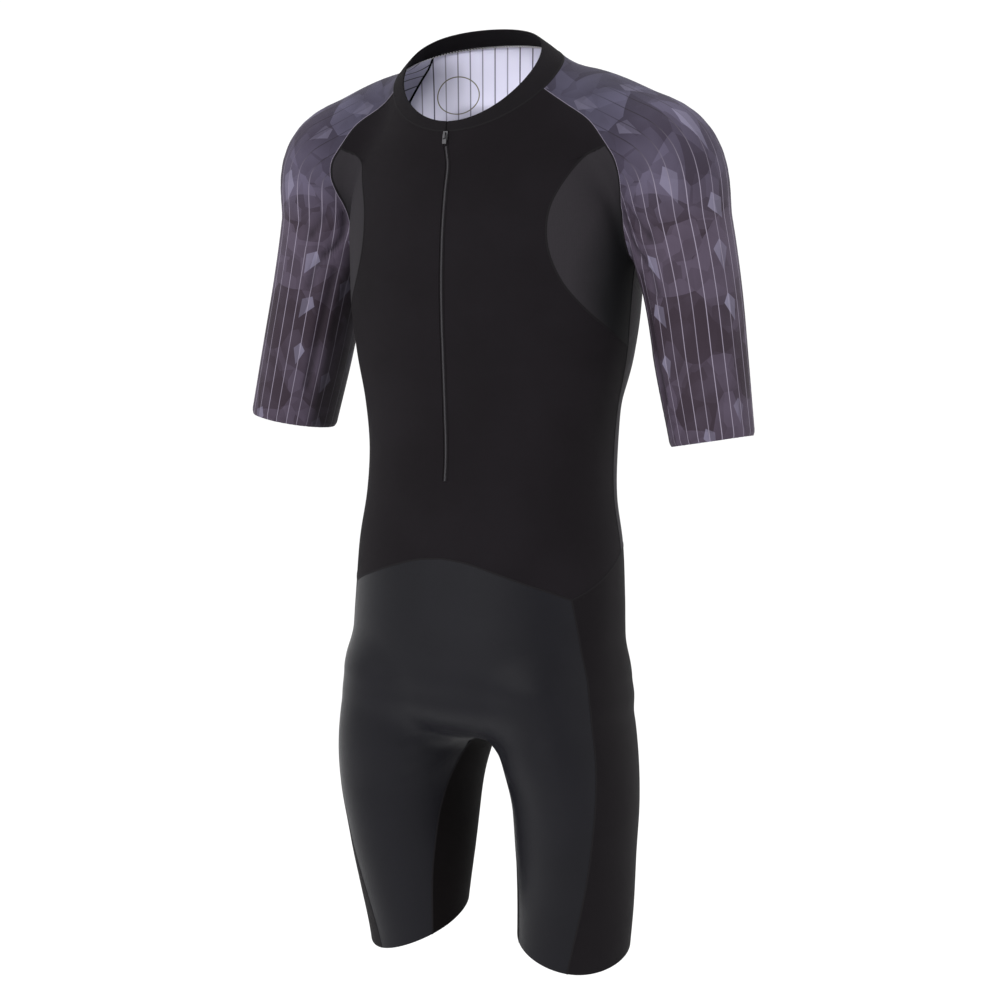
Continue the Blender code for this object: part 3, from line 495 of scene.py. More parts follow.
class shaderNumber:
    # A node's output or a number, which sums, products and other maths carry on through Math nodes
    def __init__(self, tree, socket):
        self.tree, self.socket = tree, socket

    def maths(self, operation, *others):
        made = node(self.tree, "ShaderNodeMath", dict(enumerate((self, *others))), operation=operation)
        return shaderNumber(self.tree, made.outputs[0])

    def __add__(self, other):
        return self.maths("ADD", other)

    def __sub__(self, other):
        return self.maths("SUBTRACT", other)

    def __mul__(self, other):
        return self.maths("MULTIPLY", other)

    def __truediv__(self, other):
        return self.maths("DIVIDE", other)

    def __rsub__(self, other):
        return shaderNumber(self.tree, other).maths("SUBTRACT", self)

    def __rtruediv__(self, other):
        return shaderNumber(self.tree, other).maths("DIVIDE", self)

    def __abs__(self):
        return self.maths("ABSOLUTE")

    def ramp(self, low, high):
        # 0 below low, 1 above high, smooth between
        made = node(self.tree, "ShaderNodeMapRange", {"Value": self, "From Min": low, "From Max": high},
                    interpolation_type="SMOOTHSTEP")
        return shaderNumber(self.tree, made.outputs["Result"])


def clothMap(tree):
    # Metres across and down the flat cloth
    place = node(tree, "ShaderNodeUVMap", uv_map="cloth").outputs[0]
    split = node(tree, "ShaderNodeSeparateXYZ", {0: place})
    return [shaderNumber(tree, output) for output in split.outputs[:2]]


def ownPlace(tree):
    return node(tree, "ShaderNodeTexCoord").outputs["Object"]


def noise(tree, place, scale, **values):
    made = node(tree, "ShaderNodeTexNoise", {"Vector": place, "Scale": scale, **values})
    return shaderNumber(tree, made.outputs[0])


def mask(tree, label):
    return shaderNumber(tree, node(tree, "ShaderNodeAttribute", attribute_name=label).outputs["Fac"])


def mixColour(tree, share, first, second):
    made = node(tree, "ShaderNodeMix", {"Factor": share}, data_type="RGBA")
    sockets = [socket for socket in made.inputs if socket.type == "RGBA"]
    for socket, value in zip(sockets, (first, second)):
        plug((*value, 1.0) if isinstance(value, tuple) else value, socket)
    return [socket for socket in made.outputs if socket.type == "RGBA"][0]


# Shader groups, each built once
def newGroup(name, inputs, outputs):
    tree = bpy.data.node_groups.new(name, "ShaderNodeTree")
    for label, value in inputs.items():
        tree.interface.new_socket(label, in_out="INPUT", socket_type="NodeSocketFloat").default_value = value
    for label in outputs:
        tree.interface.new_socket(label, in_out="OUTPUT", socket_type="NodeSocketFloat")
    given = tree.nodes.new("NodeGroupInput").outputs
    given = {label: shaderNumber(tree, given[label]) for label in inputs}
    return tree, given, tree.nodes.new("NodeGroupOutput")


def knitGroup():
    # Knit relief: rows and columns of small loops, height from |sin| waves over the cloth's own
    # map, with a soft unevenness
    tree, given, result = newGroup("knitRelief", {"Pitch": 0.0009, "Uneven": 0.3}, ("Height", "Cloud"))
    across, down = clothMap(tree)
    turns = np.pi / given["Pitch"]
    column = abs((across * turns).maths("SINE"))
    row = abs(((down + column * given["Pitch"]) * (turns * 1.3)).maths("SINE"))
    place = ownPlace(tree)
    plug(column * row + noise(tree, place, 260.0, Detail=2.0) * given["Uneven"], result.inputs["Height"])
    plug(noise(tree, place, 9.0, Detail=3.0), result.inputs["Cloud"])
    return tree


def stripeGroup():
    # Lines at equal distances across the cloth: up to 1 on a line and 0 between. Each line has its
    # own strength, the same again after a round number of lines.
    tree, given, result = newGroup(
        "pinStripes", {"Across": 0.0, "Spacing": 0.0135, "Width": 0.00085, "Round": 24.0}, ("Mask",))
    steps = given["Across"] / given["Spacing"]
    gap = abs(steps.maths("FRACT") - 0.5) * given["Spacing"]
    line = 1 - gap.ramp(given["Width"] * 0.3, given["Width"] * 0.7)
    number = steps.maths("FLOOR").maths("FLOORED_MODULO", given["Round"])
    own = node(tree, "ShaderNodeTexWhiteNoise", {"W": number}, noise_dimensions="1D")
    plug(line * (shaderNumber(tree, own.outputs["Value"]) * 0.40 + 0.60), result.inputs["Mask"])
    return tree


# One kite: half its width, its two tips' reach in halves, and what varies from kite to kite
kite = {"half": 0.0066, "halfMore": 0.0032, "above": 1.10, "belowMore": 1.45, "turn": 0.4,
        "place": 0.4, "placeMore": 0.2, "down": 0.42, "fold": 0.22, "shaded": 0.55, "faint": 0.30,
        "edge": (0.96, 1.02)}


def kiteGroup():
    # Scattered slim kites, one in some cells of a net, each with its own place, lean, size and
    # tone: |x| / half + |y| / reach < 1, with a shorter reach above its middle than below. One
    # side of each kite is lighter. The net closes after a round number of columns.
    tree, given, result = newGroup(
        "kiteScatter", {"Across": 0.04084, "Along": 0.054, "Round": 8.0, "Keep": 0.5}, ("Mask", "Tone"))
    across, down = clothMap(tree)
    x = across / given["Across"]
    column = x.maths("FLOOR")
    y = down / given["Along"] + column.maths("FLOORED_MODULO", 2.0) * 0.5
    line = y.maths("FLOOR")
    cell = node(tree, "ShaderNodeCombineXYZ", {0: column.maths("FLOORED_MODULO", given["Round"]), 1: line})
    chance = node(tree, "ShaderNodeTexWhiteNoise", {"Vector": cell.outputs[0]}, noise_dimensions="3D")
    split = node(tree, "ShaderNodeSeparateXYZ", {0: chance.outputs["Color"]})
    turn, size, tone = (shaderNumber(tree, output) for output in split.outputs)
    localX = (x - column - (tone * kite["placeMore"] + kite["place"])) * given["Across"]
    localY = (y - line - kite["down"]) * given["Along"]
    angle = (turn * 2 - 1) * kite["turn"]
    sine, cosine = angle.maths("SINE"), angle.maths("COSINE")
    turnedX = localX * cosine + localY * sine
    turnedY = localY * cosine - localX * sine
    half = size * kite["halfMore"] + kite["half"]
    reach = half * (turnedY.maths("GREATER_THAN", 0.0) * kite["belowMore"] + kite["above"])
    inside = 1 - (abs(turnedX) / half + abs(turnedY) / reach).ramp(*kite["edge"])
    kept = shaderNumber(tree, chance.outputs["Value"]).maths("LESS_THAN", given["Keep"])
    light = (turnedY * kite["fold"] + turnedX).maths("LESS_THAN", 0.0)
    own = tone.maths("POWER", 1.5) * (1 - kite["faint"]) + kite["faint"]
    plug(inside * kept, result.inputs["Mask"])
    plug((light * (1 - kite["shaded"]) + kite["shaded"]) * own, result.inputs["Tone"])
    return tree


knitRelief, pinStripes, kiteScatter = knitGroup(), stripeGroup(), kiteGroup()


def useGroup(tree, group, **values):
    made = node(tree, "ShaderNodeGroup", values, node_tree=group)
    return {output.name: shaderNumber(tree, output) for output in made.outputs}


def newMaterial(name, roughness, sheen=0.0, sheenTint=(1, 1, 1), specular=0.5, metallic=0.0):
    made = bpy.data.materials.new(name)
    made.use_nodes = True
    shader = made.node_tree.nodes["Principled BSDF"]
    plain = {"Roughness": roughness, "Sheen Weight": sheen, "Sheen Tint": (*sheenTint, 1.0),
             "Specular IOR Level": specular, "Metallic": metallic}
    for label, value in plain.items():
        plug(value, shader.inputs[label])
    return made, made.node_tree, shader


def finish(shader, colour, height, distance):
    # The colour and the relief of a surface
    tree = shader.id_data
    plug(colour, shader.inputs["Base Color"])
    bump = node(tree, "ShaderNodeBump", {"Height": height, "Distance": distance})
    plug(bump.outputs[0], shader.inputs["Normal"])


def knitMaterial(name, dark, light, roughness, sheen, specular, pitch=0.0009, relief=0.00012,
                 sheenTint=(0.80, 0.76, 0.82)):
    # A one-colour knit: two close tones in a slow cloud, and the loops' relief
    made, tree, shader = newMaterial(name, roughness, sheen, sheenTint, specular)
    knit = useGroup(tree, knitRelief, Pitch=pitch)
    finish(shader, mixColour(tree, knit["Cloud"].ramp(0.35, 0.65), dark, light), knit["Height"], relief)
    return made


# Finishes of the cloths: dark and light tone, roughness, sheen and specular level
blackKnit = knitMaterial("blackKnit", (0.0062, 0.0048, 0.0062), (0.0078, 0.0062, 0.0080), 0.85, 0.01, 0.10)
seatKnit = knitMaterial("seatKnit", (0.0044, 0.0032, 0.0044), (0.0054, 0.0042, 0.0054), 0.72, 0.005, 0.09)
gussetKnit = knitMaterial("gussetKnit", (0.0024, 0.0017, 0.0018), (0.0032, 0.0024, 0.0026), 0.80, 0.0, 0.05)
collarKnit = knitMaterial("collarKnit", (0.0088, 0.0076, 0.0090), (0.0102, 0.0088, 0.0106), 0.82, 0.005,
                          0.07, pitch=0.0007)
shinyBlack = knitMaterial("shinyBlack", (0.0028, 0.0026, 0.0048), (0.0038, 0.0036, 0.0062), 0.40, 0.012,
                          0.140, pitch=0.0006, relief=0.00004, sheenTint=(0.72, 0.74, 0.86))
blackInside = knitMaterial("blackInside", (0.012, 0.010, 0.012), (0.016, 0.014, 0.016), 0.85, 0.02, 0.12)

# The sleeves' stripes go round a tube of this radius
sleeveStripes = {"count": 24, "radius": 0.052}
sleeveStripes["spacing"] = 2 * np.pi * sleeveStripes["radius"] / sleeveStripes["count"]
# The printed back: width and top of the painted shade down its sides, its stripes and the radius
# they go round, and the heights between which its tone turns cool
backPanel = {"sideShadeWidth": 0.048, "sideShadeTop": -0.178, "soft": 0.006, "stripes": 0.0162, "round": 0.175,
             "cool": (-0.25, -0.05)}
# Inside its neck: the stripes' step, lean and shift, and a thin plain ring
neckPrint = {"stripes": 0.0156, "lean": 0.568, "shift": 0.0052, "upright": (-0.0618, 0.1087, 1.0),
             "flatten": 1.44, "ringAt": (-0.0442, -0.0086), "ringRadius": 0.0267, "ringLine": 0.0014}
# The print: patches from dark to light on the warm and the cool part of the cloth, and the rest
printTones = {"warm": ((0.030, 0.020, 0.030), (0.074, 0.057, 0.086)),
              "cool": ((0.044, 0.038, 0.064), (0.118, 0.110, 0.176)),
              "stripe": ((0.020, 0.016, 0.024), (0.270, 0.240, 0.310)), "patches": (0.22, 0.52),
              "kite": (0.250, 0.232, 0.330), "kiteShare": 0.85,
              # dark: the near black that the dark mask paints, most of it painted shade
              "dark": (0.0060, 0.0045, 0.0058), "darkAndShadeShare": 0.93}
insideTones = {"ground": ((0.740, 0.725, 0.900), (0.800, 0.785, 0.950)), "stripe": (0.030, 0.027, 0.062),
               "ring": (0.150, 0.128, 0.085), "stripeWidth": 0.0016}


def facetTone(tree, place, scale):
    # A plain tone for each cell of a scattered net
    cells = node(tree, "ShaderNodeTexVoronoi", {"Vector": place, "Scale": scale, "Randomness": 1.0})
    return shaderNumber(tree, node(tree, "ShaderNodeSeparateXYZ", {0: cells.outputs["Color"]}).outputs[0])


def printMaterial(name, stripeSpacing, motifKeep):
    # The printed knit: angular patches from plum to lavender grey, pale kites, and thin stripes
    # along the cloth, dark at first and pale further down. The patches' place goes round with the
    # cloth, (r cos(x/r), r sin(x/r), y), so that they close round the arm. The "dark" mask turns
    # the ground and its stripes to near black: painted shade in the creases, on the sleeves' side
    # turned to the body and down the back's sides, and the dark neck end of the sleeves.
    made, tree, shader = newMaterial(name, 0.72, 0.02, (0.85, 0.80, 0.92), 0.15)
    across, down = clothMap(tree)
    radius = sleeveStripes["radius"]
    turn = across / radius
    place = node(tree, "ShaderNodeCombineXYZ", {0: turn.maths("COSINE") * radius,
                                                1: turn.maths("SINE") * radius, 2: down}).outputs[0]
    clouds = noise(tree, place, 13.0, Detail=2.0, Roughness=0.5, Distortion=0.6)
    mixed = clouds * 0.40 + facetTone(tree, place, 26.0) * 0.20 + facetTone(tree, place, 52.0) * 0.13
    patches = mixed.ramp(*printTones["patches"])
    ground = mixColour(tree, mask(tree, "cool"), mixColour(tree, patches, *printTones["warm"]),
                       mixColour(tree, patches, *printTones["cool"]))
    kites = useGroup(tree, kiteScatter, Keep=motifKeep)
    paler = kites["Mask"] * kites["Tone"] * printTones["kiteShare"]
    ground = mixColour(tree, paler, ground, printTones["kite"])
    stripes = useGroup(tree, pinStripes, Across=across, Spacing=stripeSpacing)
    fading = mask(tree, "stripe")
    thread = mixColour(tree, fading.ramp(0.55, 0.95), *printTones["stripe"])
    ground = mixColour(tree, stripes["Mask"] * fading.ramp(0.0, 0.5), ground, thread)
    ground = mixColour(tree, mask(tree, "dark") * printTones["darkAndShadeShare"], ground, printTones["dark"])
    finish(shader, ground, useGroup(tree, knitRelief, Pitch=0.0008)["Height"], 0.00008)
    return made


def dot(tree, place, direction):
    made = node(tree, "ShaderNodeVectorMath", {0: place, 1: direction}, operation="DOT_PRODUCT")
    return shaderNumber(tree, made.outputs["Value"])


def insideMaterial(name, stripeSpacing, neck=None):
    # The reverse of the printed knit: pale, with the stripes showing through as thin dark lines.
    # Inside the neck they lie at even steps of x + lean * y, and there is a plain thin ring: an
    # ellipse in x + lean * y and in the upright direction.
    made, tree, shader = newMaterial(name, 0.80, 0.10, (1, 1, 1), 0.3)
    knit = useGroup(tree, knitRelief, Pitch=0.0008)
    if neck:
        place = ownPlace(tree)
        slanted = dot(tree, place, (1.0, neck["lean"], 0.0))
        across = slanted + neck["shift"]
    else:
        across = clothMap(tree)[0]
    stripes = useGroup(tree, pinStripes, Across=across, Spacing=stripeSpacing,
                       Width=insideTones["stripeWidth"])
    ground = mixColour(tree, knit["Cloud"].ramp(0.3, 0.7), *insideTones["ground"])
    ground = mixColour(tree, stripes["Mask"], ground, insideTones["stripe"])
    if neck:
        upright = (dot(tree, place, neck["upright"]) - neck["ringAt"][1]) * neck["flatten"]
        sideways = slanted - neck["ringAt"][0]
        reach = (upright * upright + sideways * sideways).maths("SQRT")
        ring = 1 - abs(reach - neck["ringRadius"]).ramp(neck["ringLine"] * 0.3, neck["ringLine"] * 0.7)
        ground = mixColour(tree, ring, ground, insideTones["ring"])
    finish(shader, ground, knit["Height"], 0.00010)
    return made


def meshMaterial():
    # Open mesh: a net of small dark holes in a grey knit, with painted shade darker towards the low
    # back edge, where the insert turns away to the side
    made, tree, shader = newMaterial("meshKnit", 0.78, 0.02, (0.8, 0.8, 0.85), 0.14)
    holes = node(tree, "ShaderNodeTexVoronoi", {"Vector": ownPlace(tree), "Scale": 620.0, "Randomness": 0.3})
    knit = shaderNumber(tree, holes.outputs["Distance"]).ramp(0.22, 0.42)
    # painted shade: the lit grey turns near black where the shade mask is full
    ground = mixColour(tree, mask(tree, "shade"), (0.0195, 0.0170, 0.0205), (0.0050, 0.0050, 0.0060))
    finish(shader, mixColour(tree, (1 - knit) * 0.22, ground, (0.006, 0.006, 0.007)), knit, 0.00004)
    return made


sleevePrint = printMaterial("sleevePrint", sleeveStripes["spacing"], 0.62)
backPrint = printMaterial("backPrint", backPanel["stripes"], 0.55)
sleeveInside = insideMaterial("sleeveInside", sleeveStripes["spacing"])
backInside = insideMaterial("backInside", neckPrint["stripes"], neckPrint)
meshKnit = meshMaterial()


def plainMaterial(name, colour, roughness, metallic=0.0, sheen=0.0, specular=0.3):
    # A plain finish with a fine uneven surface and slightly uneven gloss
    made, tree, shader = newMaterial(name, roughness, sheen, metallic=metallic, specular=specular)
    grain = noise(tree, ownPlace(tree), 900.0, Detail=2.0)
    plug(grain * 0.12 + (roughness - 0.06), shader.inputs["Roughness"])
    finish(shader, mixColour(tree, grain, tuple(part * 0.85 for part in colour), colour), grain, 0.00004)
    return made


blackThread = plainMaterial("blackThread", (0.0060, 0.0050, 0.0062), 0.75, specular=0.14)
greyThread = plainMaterial("greyThread", (0.022, 0.020, 0.024), 0.7, specular=0.2)
paleThread = plainMaterial("paleThread", (0.20, 0.175, 0.23), 0.6, sheen=0.2)
whiteThread = plainMaterial("whiteThread", (0.80, 0.78, 0.82), 0.6, sheen=0.2)
zipTapeCloth = plainMaterial("zipTapeCloth", (0.0068, 0.0056, 0.0068), 0.8, specular=0.1)
zipCoil = plainMaterial("zipCoil", (0.070, 0.067, 0.074), 0.45)
zipSteel = plainMaterial("zipSteel", (0.100, 0.098, 0.104), 0.32, metallic=1.0)
print("finishes made")


def lengthenRightLeg(points):
    # Points of the right leg move down by drop * (3 s^2 - 2 s^3), with s from start to full height
    share = fade(points[..., 2], rightLeg["start"], rightLeg["full"])
    fall = rightLeg["drop"] * share ** 2 * (3 - 2 * share) * (points[..., 0] < 0)
    return points - fall[..., None] * (0, 0, 1)


def addObject(name, data):
    made = bpy.data.objects.new(name, data)
    scene.collection.objects.link(made)
    return made


def addPiece(name, points, faces, materials, sharp=50):
    # A mesh that rides with the suit, smooth but for edges sharper than an angle
    mesh = bpy.data.meshes.new(name)
    mesh.from_pydata(points, [], faces)
    for material in materials:
        mesh.materials.append(material)
    mesh.update()
    if sharp:
        mesh.shade_smooth()
        mesh.set_sharp_from_angle(angle=np.radians(sharp))
    piece = addObject(name, mesh)
    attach(piece, "suit")
    return piece


def setMap(mesh, corners):
    layer = mesh.uv_layers.new(name="cloth")
    layer.data.foreach_set("uv", np.asarray(corners, dtype=np.float32).reshape(-1))


def cellCorners(grid):
    # Corners of each cell of a grid: two along its row, then back along the next row
    cells = np.stack([grid[:-1, :-1], grid[:-1, 1:], grid[1:, 1:], grid[1:, :-1]], axis=2)
    return cells.reshape(-1, 4, *grid.shape[2:])


# A cloth's thickness, and how far its free edges are drawn in
wallSizes = {"cloth": 0.0010, "gap": 0.00012}


def freeEdges(faces, count):
    # Edges walked one way only: the free border of a set of four-sided faces
    starts, ends = faces.reshape(-1), np.roll(faces, -1, axis=1).reshape(-1)
    starts, ends = starts[starts != ends], ends[starts != ends]
    free = ~np.isin(starts * count + ends, ends * count + starts)
    return starts[free], ends[free]


def clothPiece(name, grid, uv, outer, inner, closed=False, slit=None, flip=False, masks=None):
    # A wall: the grid is its outer face, drawn in a little at its free edges, and its inner face
    # lies a thickness further in. uv gives each grid point's place in the flat cloth. A slit
    # leaves a column of cells open, down to a row.
    _, first, number = np.unique(
        np.round(grid.reshape(-1, 3), 7), axis=0, return_index=True, return_inverse=True)
    number = number.reshape(grid.shape[:2])
    if closed:
        number = np.concatenate([number, number[:, :1]], axis=1)
    backwards = [0, 3, 2, 1]
    quads, corners = cellCorners(number)[:, backwards], cellCorners(uv)[:, backwards]
    if slit:
        shut = np.ones((number.shape[0] - 1, number.shape[1] - 1), dtype=bool)
        shut[:slit["rows"], slit["column"]] = False
        quads, corners = quads[shut.reshape(-1)], corners[shut.reshape(-1)]
    if flip:
        quads, corners = quads[:, ::-1], corners[:, ::-1]
    points = grid.reshape(-1, 3)[first]
    normal = outward(points)
    points, shade = press(points, normal)
    count = len(points)
    starts, ends = freeEdges(quads, count)
    tangent = np.zeros_like(points)
    step = unit(points[ends] - points[starts])
    np.add.at(tangent, starts, step)
    np.add.at(tangent, ends, step)
    points = points + wallSizes["gap"] * unit(np.cross(normal, tangent))
    edgeUv = np.zeros((count, 2))
    edgeUv[quads.reshape(-1)] = corners.reshape(-1, 2)
    # outer side, inner side and rim; a corner that is the same as the one before it is left out
    rim = np.stack([ends, starts, starts + count, ends + count], axis=1)
    faces = np.concatenate([quads, quads[:, backwards] + count, rim])
    places = np.concatenate([corners, corners[:, backwards], edgeUv[rim % count]])
    kept = faces != np.roll(faces, 1, axis=1)
    whole = kept.sum(axis=1) > 2
    slots = np.repeat([0, 1, 0], [len(quads), len(quads), len(rim)])[whole]
    kept &= whole[:, None]
    rings = np.split(faces[kept], np.cumsum(kept[whole].sum(axis=1))[:-1])
    body = lengthenRightLeg(np.concatenate([points, points - wallSizes["cloth"] * normal]))
    piece = addPiece(name, body, rings, (outer, inner), 55)
    setMap(piece.data, places[kept])
    piece.data.polygons.foreach_set("material_index", slots.astype(np.int32))
    for label, values in (masks or {}).items():
        # the painted shade of the crease floors joins the dark mask
        own = np.maximum(values.reshape(-1)[first], shade if label == "dark" else 0.0)
        attribute = piece.data.attributes.new(label, "FLOAT", "POINT")
        attribute.data.foreach_set("value", np.tile(own, 2).astype(np.float32))
    return piece


def metricMap(grid, fromColumn=0):
    # Each point's place in the flat cloth: level metres along its row from a given column, and
    # metres down the column on average
    across = np.linalg.norm(np.diff(grid[:, :, :2], axis=1), axis=2)
    level = np.concatenate([np.zeros((len(grid), 1)), np.cumsum(across, axis=1)], axis=1)
    level = level - level[:, fromColumn:fromColumn + 1]
    down = np.linalg.norm(np.diff(grid, axis=0), axis=2).mean(axis=1)
    fallen = np.append(0, np.cumsum(down))[:, None] * np.ones((1, grid.shape[1]))
    return np.stack([level, fallen], axis=2)


def levelLine(start, end, shares, offset=0.0):
    # A line down the middle, cut at the given shares of its length
    line = settle(resample(settle(np.linspace(start, end, 200), 10), shares))
    line[0], line[-1] = start, end
    line[:, 0] = offset
    return line


# Sizes of the zip, in metres: tape width and the gap beside it, the bottom of the slit, the coil's
# pitch, width, height and thread, the place of the first tooth, and the share of the collar's
# height its tape climbs
zipSizes = {"tapeWidth": 0.0056, "gap": 0.0003, "bottom": -0.423, "pitch": 0.00135, "coilWidth": 0.0020,
            "coilHeight": 0.0010, "thread": 0.0008, "firstTooth": 0.016, "collarShare": 0.97}


def declareCloth(cut, side=""):
    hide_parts(cut + side)


def frontBodice():
    side = chain(raglanFrontUpper, insertArc, sideLower)
    neck, waist = neckFront.copy(), chain(waistFront, waistSide)
    halfSlit = zipSizes["tapeWidth"] / 2 + zipSizes["gap"]
    for border in (neck, waist):
        border[0] += (border[1] - border[0]) * halfSlit / border[1, 0]
    middle = levelLine(neck[0], waist[0], fallShare(side), halfSlit)
    half = panelGrid(neck, waist, middle, side, 2.5)
    grid = bothHalves(half)
    centre = grid.shape[1] // 2 - 1
    lastOpen = np.searchsorted(-middle[:, 2], -zipSizes["bottom"]) - 1
    piece = clothPiece("front_panel", grid, metricMap(grid, centre), blackKnit, blackInside,
                       slit={"column": centre, "rows": lastOpen + 1})
    declareCloth("front_bodice")
    return middle[:lastOpen + 2]


def backBodice():
    side = chain(raglanBack, sideUpper, sideLower)
    middle = levelLine(neckBack[-1], corner["backWaist"], fallShare(side))
    half = panelGrid(neckBack, waistBack, side, middle, 2.5)
    grid = np.concatenate([half, mirror(half[:, -2::-1])], axis=1)
    uv = metricMap(grid, half.shape[1] - 1)
    # painted shade down the back's sides below the armpit, where the cloth turns away from the light
    toEdge = np.minimum(uv[:, -1:, 0] - uv[:, :, 0], uv[:, :, 0] - uv[:, :1, 0])
    dark = np.clip((backPanel["sideShadeWidth"] - toEdge) / backPanel["soft"], 0, 1)
    dark *= np.clip((backPanel["sideShadeTop"] - grid[:, :, 2]) / backPanel["soft"], 0, 1)
    # across the cloth: r asin(x / r), the way round a back of that radius
    uv[:, :, 0] = backPanel["round"] * np.arcsin(grid[:, :, 0] / backPanel["round"])
    masks = {"stripe": np.ones(grid.shape[:2]), "dark": dark, "cool": fade(grid[:, :, 2], *backPanel["cool"])}
    piece = clothPiece("back_panel", grid, uv, backPrint, backInside, masks=masks)
    declareCloth("back_bodice")
    return piece


def onBothSides(name, cut, slot, grid, uv, outer, inner=blackInside, **more):
    for side, turned in (("_left", False), ("_right", True)):
        own = mirror(grid) if turned else grid
        piece = clothPiece(name + side, own, uv, outer, inner, flip=turned, **more)
        declareCloth(cut, side)


# The mesh's shade grows down it and towards its back edge
meshShade = {"down": 0.9, "across": 0.45, "start": 0.58, "end": 0.80}


def sideInsert():
    backEdge = chain(raglanFrontLower, sideUpper)
    across = np.linspace(0, 1, spans["insertAcross"] + 1)[None, :, None]
    grid = (1 - across) * insertArc[:, None] + across * backEdge[:, None]
    grid[1:-1, 1:-1] = settle(grid[1:-1, 1:-1], 10)
    down = np.linspace(0, 1, len(grid))[:, None]
    shade = down * meshShade["down"] + across[:, :, 0] * meshShade["across"]
    shade = fade(shade, meshShade["start"], meshShade["end"])
    onBothSides("side_mesh", "side_insert", "mesh", grid, metricMap(grid), meshKnit, masks={"shade": shade})


def armFrame(along):
    # Centre, forward and upward directions at places along the arm's line
    steps = np.arange(len(armLine))
    centre, tangent = (np.stack([np.interp(along, steps, column) for column in line.T], axis=-1)
                       for line in (armLine[:, :3], np.gradient(armLine[:, :3], axis=0)))
    tangent = unit(tangent)
    front = unit(np.array((0.0, -1.0, 0.0)) + tangent * tangent[..., 1:2])
    return centre, front, np.cross(front, tangent)


def armPlace(points):
    # Share of the arm's line, angle round it and distance from it, for each point
    share, nearest = nearestPlace(points, armLine)
    best = np.linalg.norm(nearest, axis=2).argmin(axis=1)
    along = best + share[np.arange(len(points)), best]
    centre, front, up = armFrame(along)
    radial = points - centre
    angle = np.unwrap(np.arctan2((radial * up).sum(axis=1), (radial * front).sum(axis=1)))
    return along, angle, np.linalg.norm(radial, axis=1)


def armRadius(along):
    return np.interp(along, np.arange(len(armLine)), armLine[:, 3])


def armRing(along, turn, width):
    # centre + width * (cos turn * front + sin turn * up)
    centre, front, up = armFrame(along)
    turn, width = np.asarray(turn)[..., None], np.asarray(width)[..., None]
    return centre + width * (np.cos(turn) * front + np.sin(turn) * up)


def cuffPlaces(angles):
    # How far along the arm's line the cuff's plane is met in each direction
    places = np.linspace(len(armLine) * cuff["searchFrom"], len(armLine) - 1, 800)
    ring = armRing(places, angles[:, None], armRadius(places))
    below = ring[..., 2] < planeHeight(cuff, ring[..., 0], ring[..., 1])
    return places[below.argmax(axis=1)]


armStep = armChord[-1] / (len(armLine) - 1)  # metres along the arm's line for each of its steps
sleeveRound = 1 / 3  # share of the sleeve's length by which its rings are as wide as the arm


def sleeve():
    # Rings from the raglan seam to the cuff: place and angle run evenly from seam to cuff
    top = chain(neckShoulder, raglanBack, raglanFrontLower[::-1], raglanFrontUpper[::-1])[:-1]
    along, angle, reach = armPlace(top)
    count = len(top)
    cuffAngle = angle[0] + np.sign(angle[-1] - angle[0]) * np.arange(count) * 2 * np.pi / count
    cuffAngle += (angle - cuffAngle).mean()
    share = np.linspace(0, 1, spans["sleeveRows"] + 1)[:, None]
    place = along + (cuffPlaces(cuffAngle) - along) * share
    turn = angle + (cuffAngle - angle) * share
    width = reach + (armRadius(place) - reach) * fade(share, 0, sleeveRound)
    grid = armRing(place, turn, width)
    grid[0] = top
    grid[1:] = settle(grid[1:], 8)
    return grid, turn, place * armStep


# Metres down the sleeve: where its stripes begin and turn pale, where the cool tone ends and where
# the dark neck end fades, each from its start to its end, and how far it turns in at the cuff. The
# painted shade on the side turned to the body: how far that side faces the body where the shade
# starts and is full, the metres down where it starts and is full, and how dark it is at most
sleeveFades = {"stripe": (0.060, 0.210), "cool": (0.230, 0.100), "neckEnd": (0.150, 0.090), "neckDark": 0.52,
               "bodySideShade": (0.74, 0.88), "sideShadeStart": (0.22, 0.28), "sideShadeMost": 0.85}
cuffTurn = {"reach": 0.006, "depth": 0.0016}


def addSleeves():
    grid, turn, along = sleeve()
    direction = np.sign(turn[0, -1] - turn[0, 0])
    wrapped = np.concatenate([turn, turn[:, :1] + direction * 2 * np.pi], axis=1)
    uv = np.stack([wrapped * sleeveStripes["radius"], np.concatenate([along, along[:, :1]], axis=1)], axis=2)
    radial = unit(grid - armFrame(along / armStep)[0])
    # the last of the cloth turns in at the cuff
    near = np.clip(1 - (along[-1:] - along) / cuffTurn["reach"], 0, 1) ** 2
    grid = grid - cuffTurn["depth"] * near[:, :, None] * radial
    # painted shade on the side turned to the body, from the armpit down; the neck end is dark too
    down = {name: fade(along, *sleeveFades[name]) for name in ("stripe", "cool", "neckEnd", "sideShadeStart")}
    bodySideShade = sleeveFades["sideShadeMost"] * fade(-radial[:, :, 0], *sleeveFades["bodySideShade"]) * down["sideShadeStart"]
    dark = np.maximum(bodySideShade, sleeveFades["neckDark"] * down["neckEnd"])
    masks = {"stripe": down["stripe"], "cool": down["cool"], "dark": dark}
    onBothSides("sleeve_cloth", "sleeve", "printed_knit", grid, uv, sleevePrint, sleeveInside,
                closed=True, masks=masks)


def shortsFront():
    half = panelGrid(waistFront, hemFront, chain(frontCentre, gussetFront), sideFront)
    middle = half.shape[1] - 1
    grid = bothHalves(half)
    # the two halves meet down to the crotch, and part below it
    piece = clothPiece("shorts_front_panel", grid, metricMap(grid, middle), shinyBlack, blackInside,
                       slit={"column": middle, "rows": len(grid)})
    declareCloth("shorts_front")


def seat():
    grid = panelGrid(chain(waistSide, waistBack), hemOuter, sideFront, chain(backCentre, gussetBack))
    onBothSides("seat_panel", "seat", "seat_knit", grid, metricMap(grid), seatKnit)


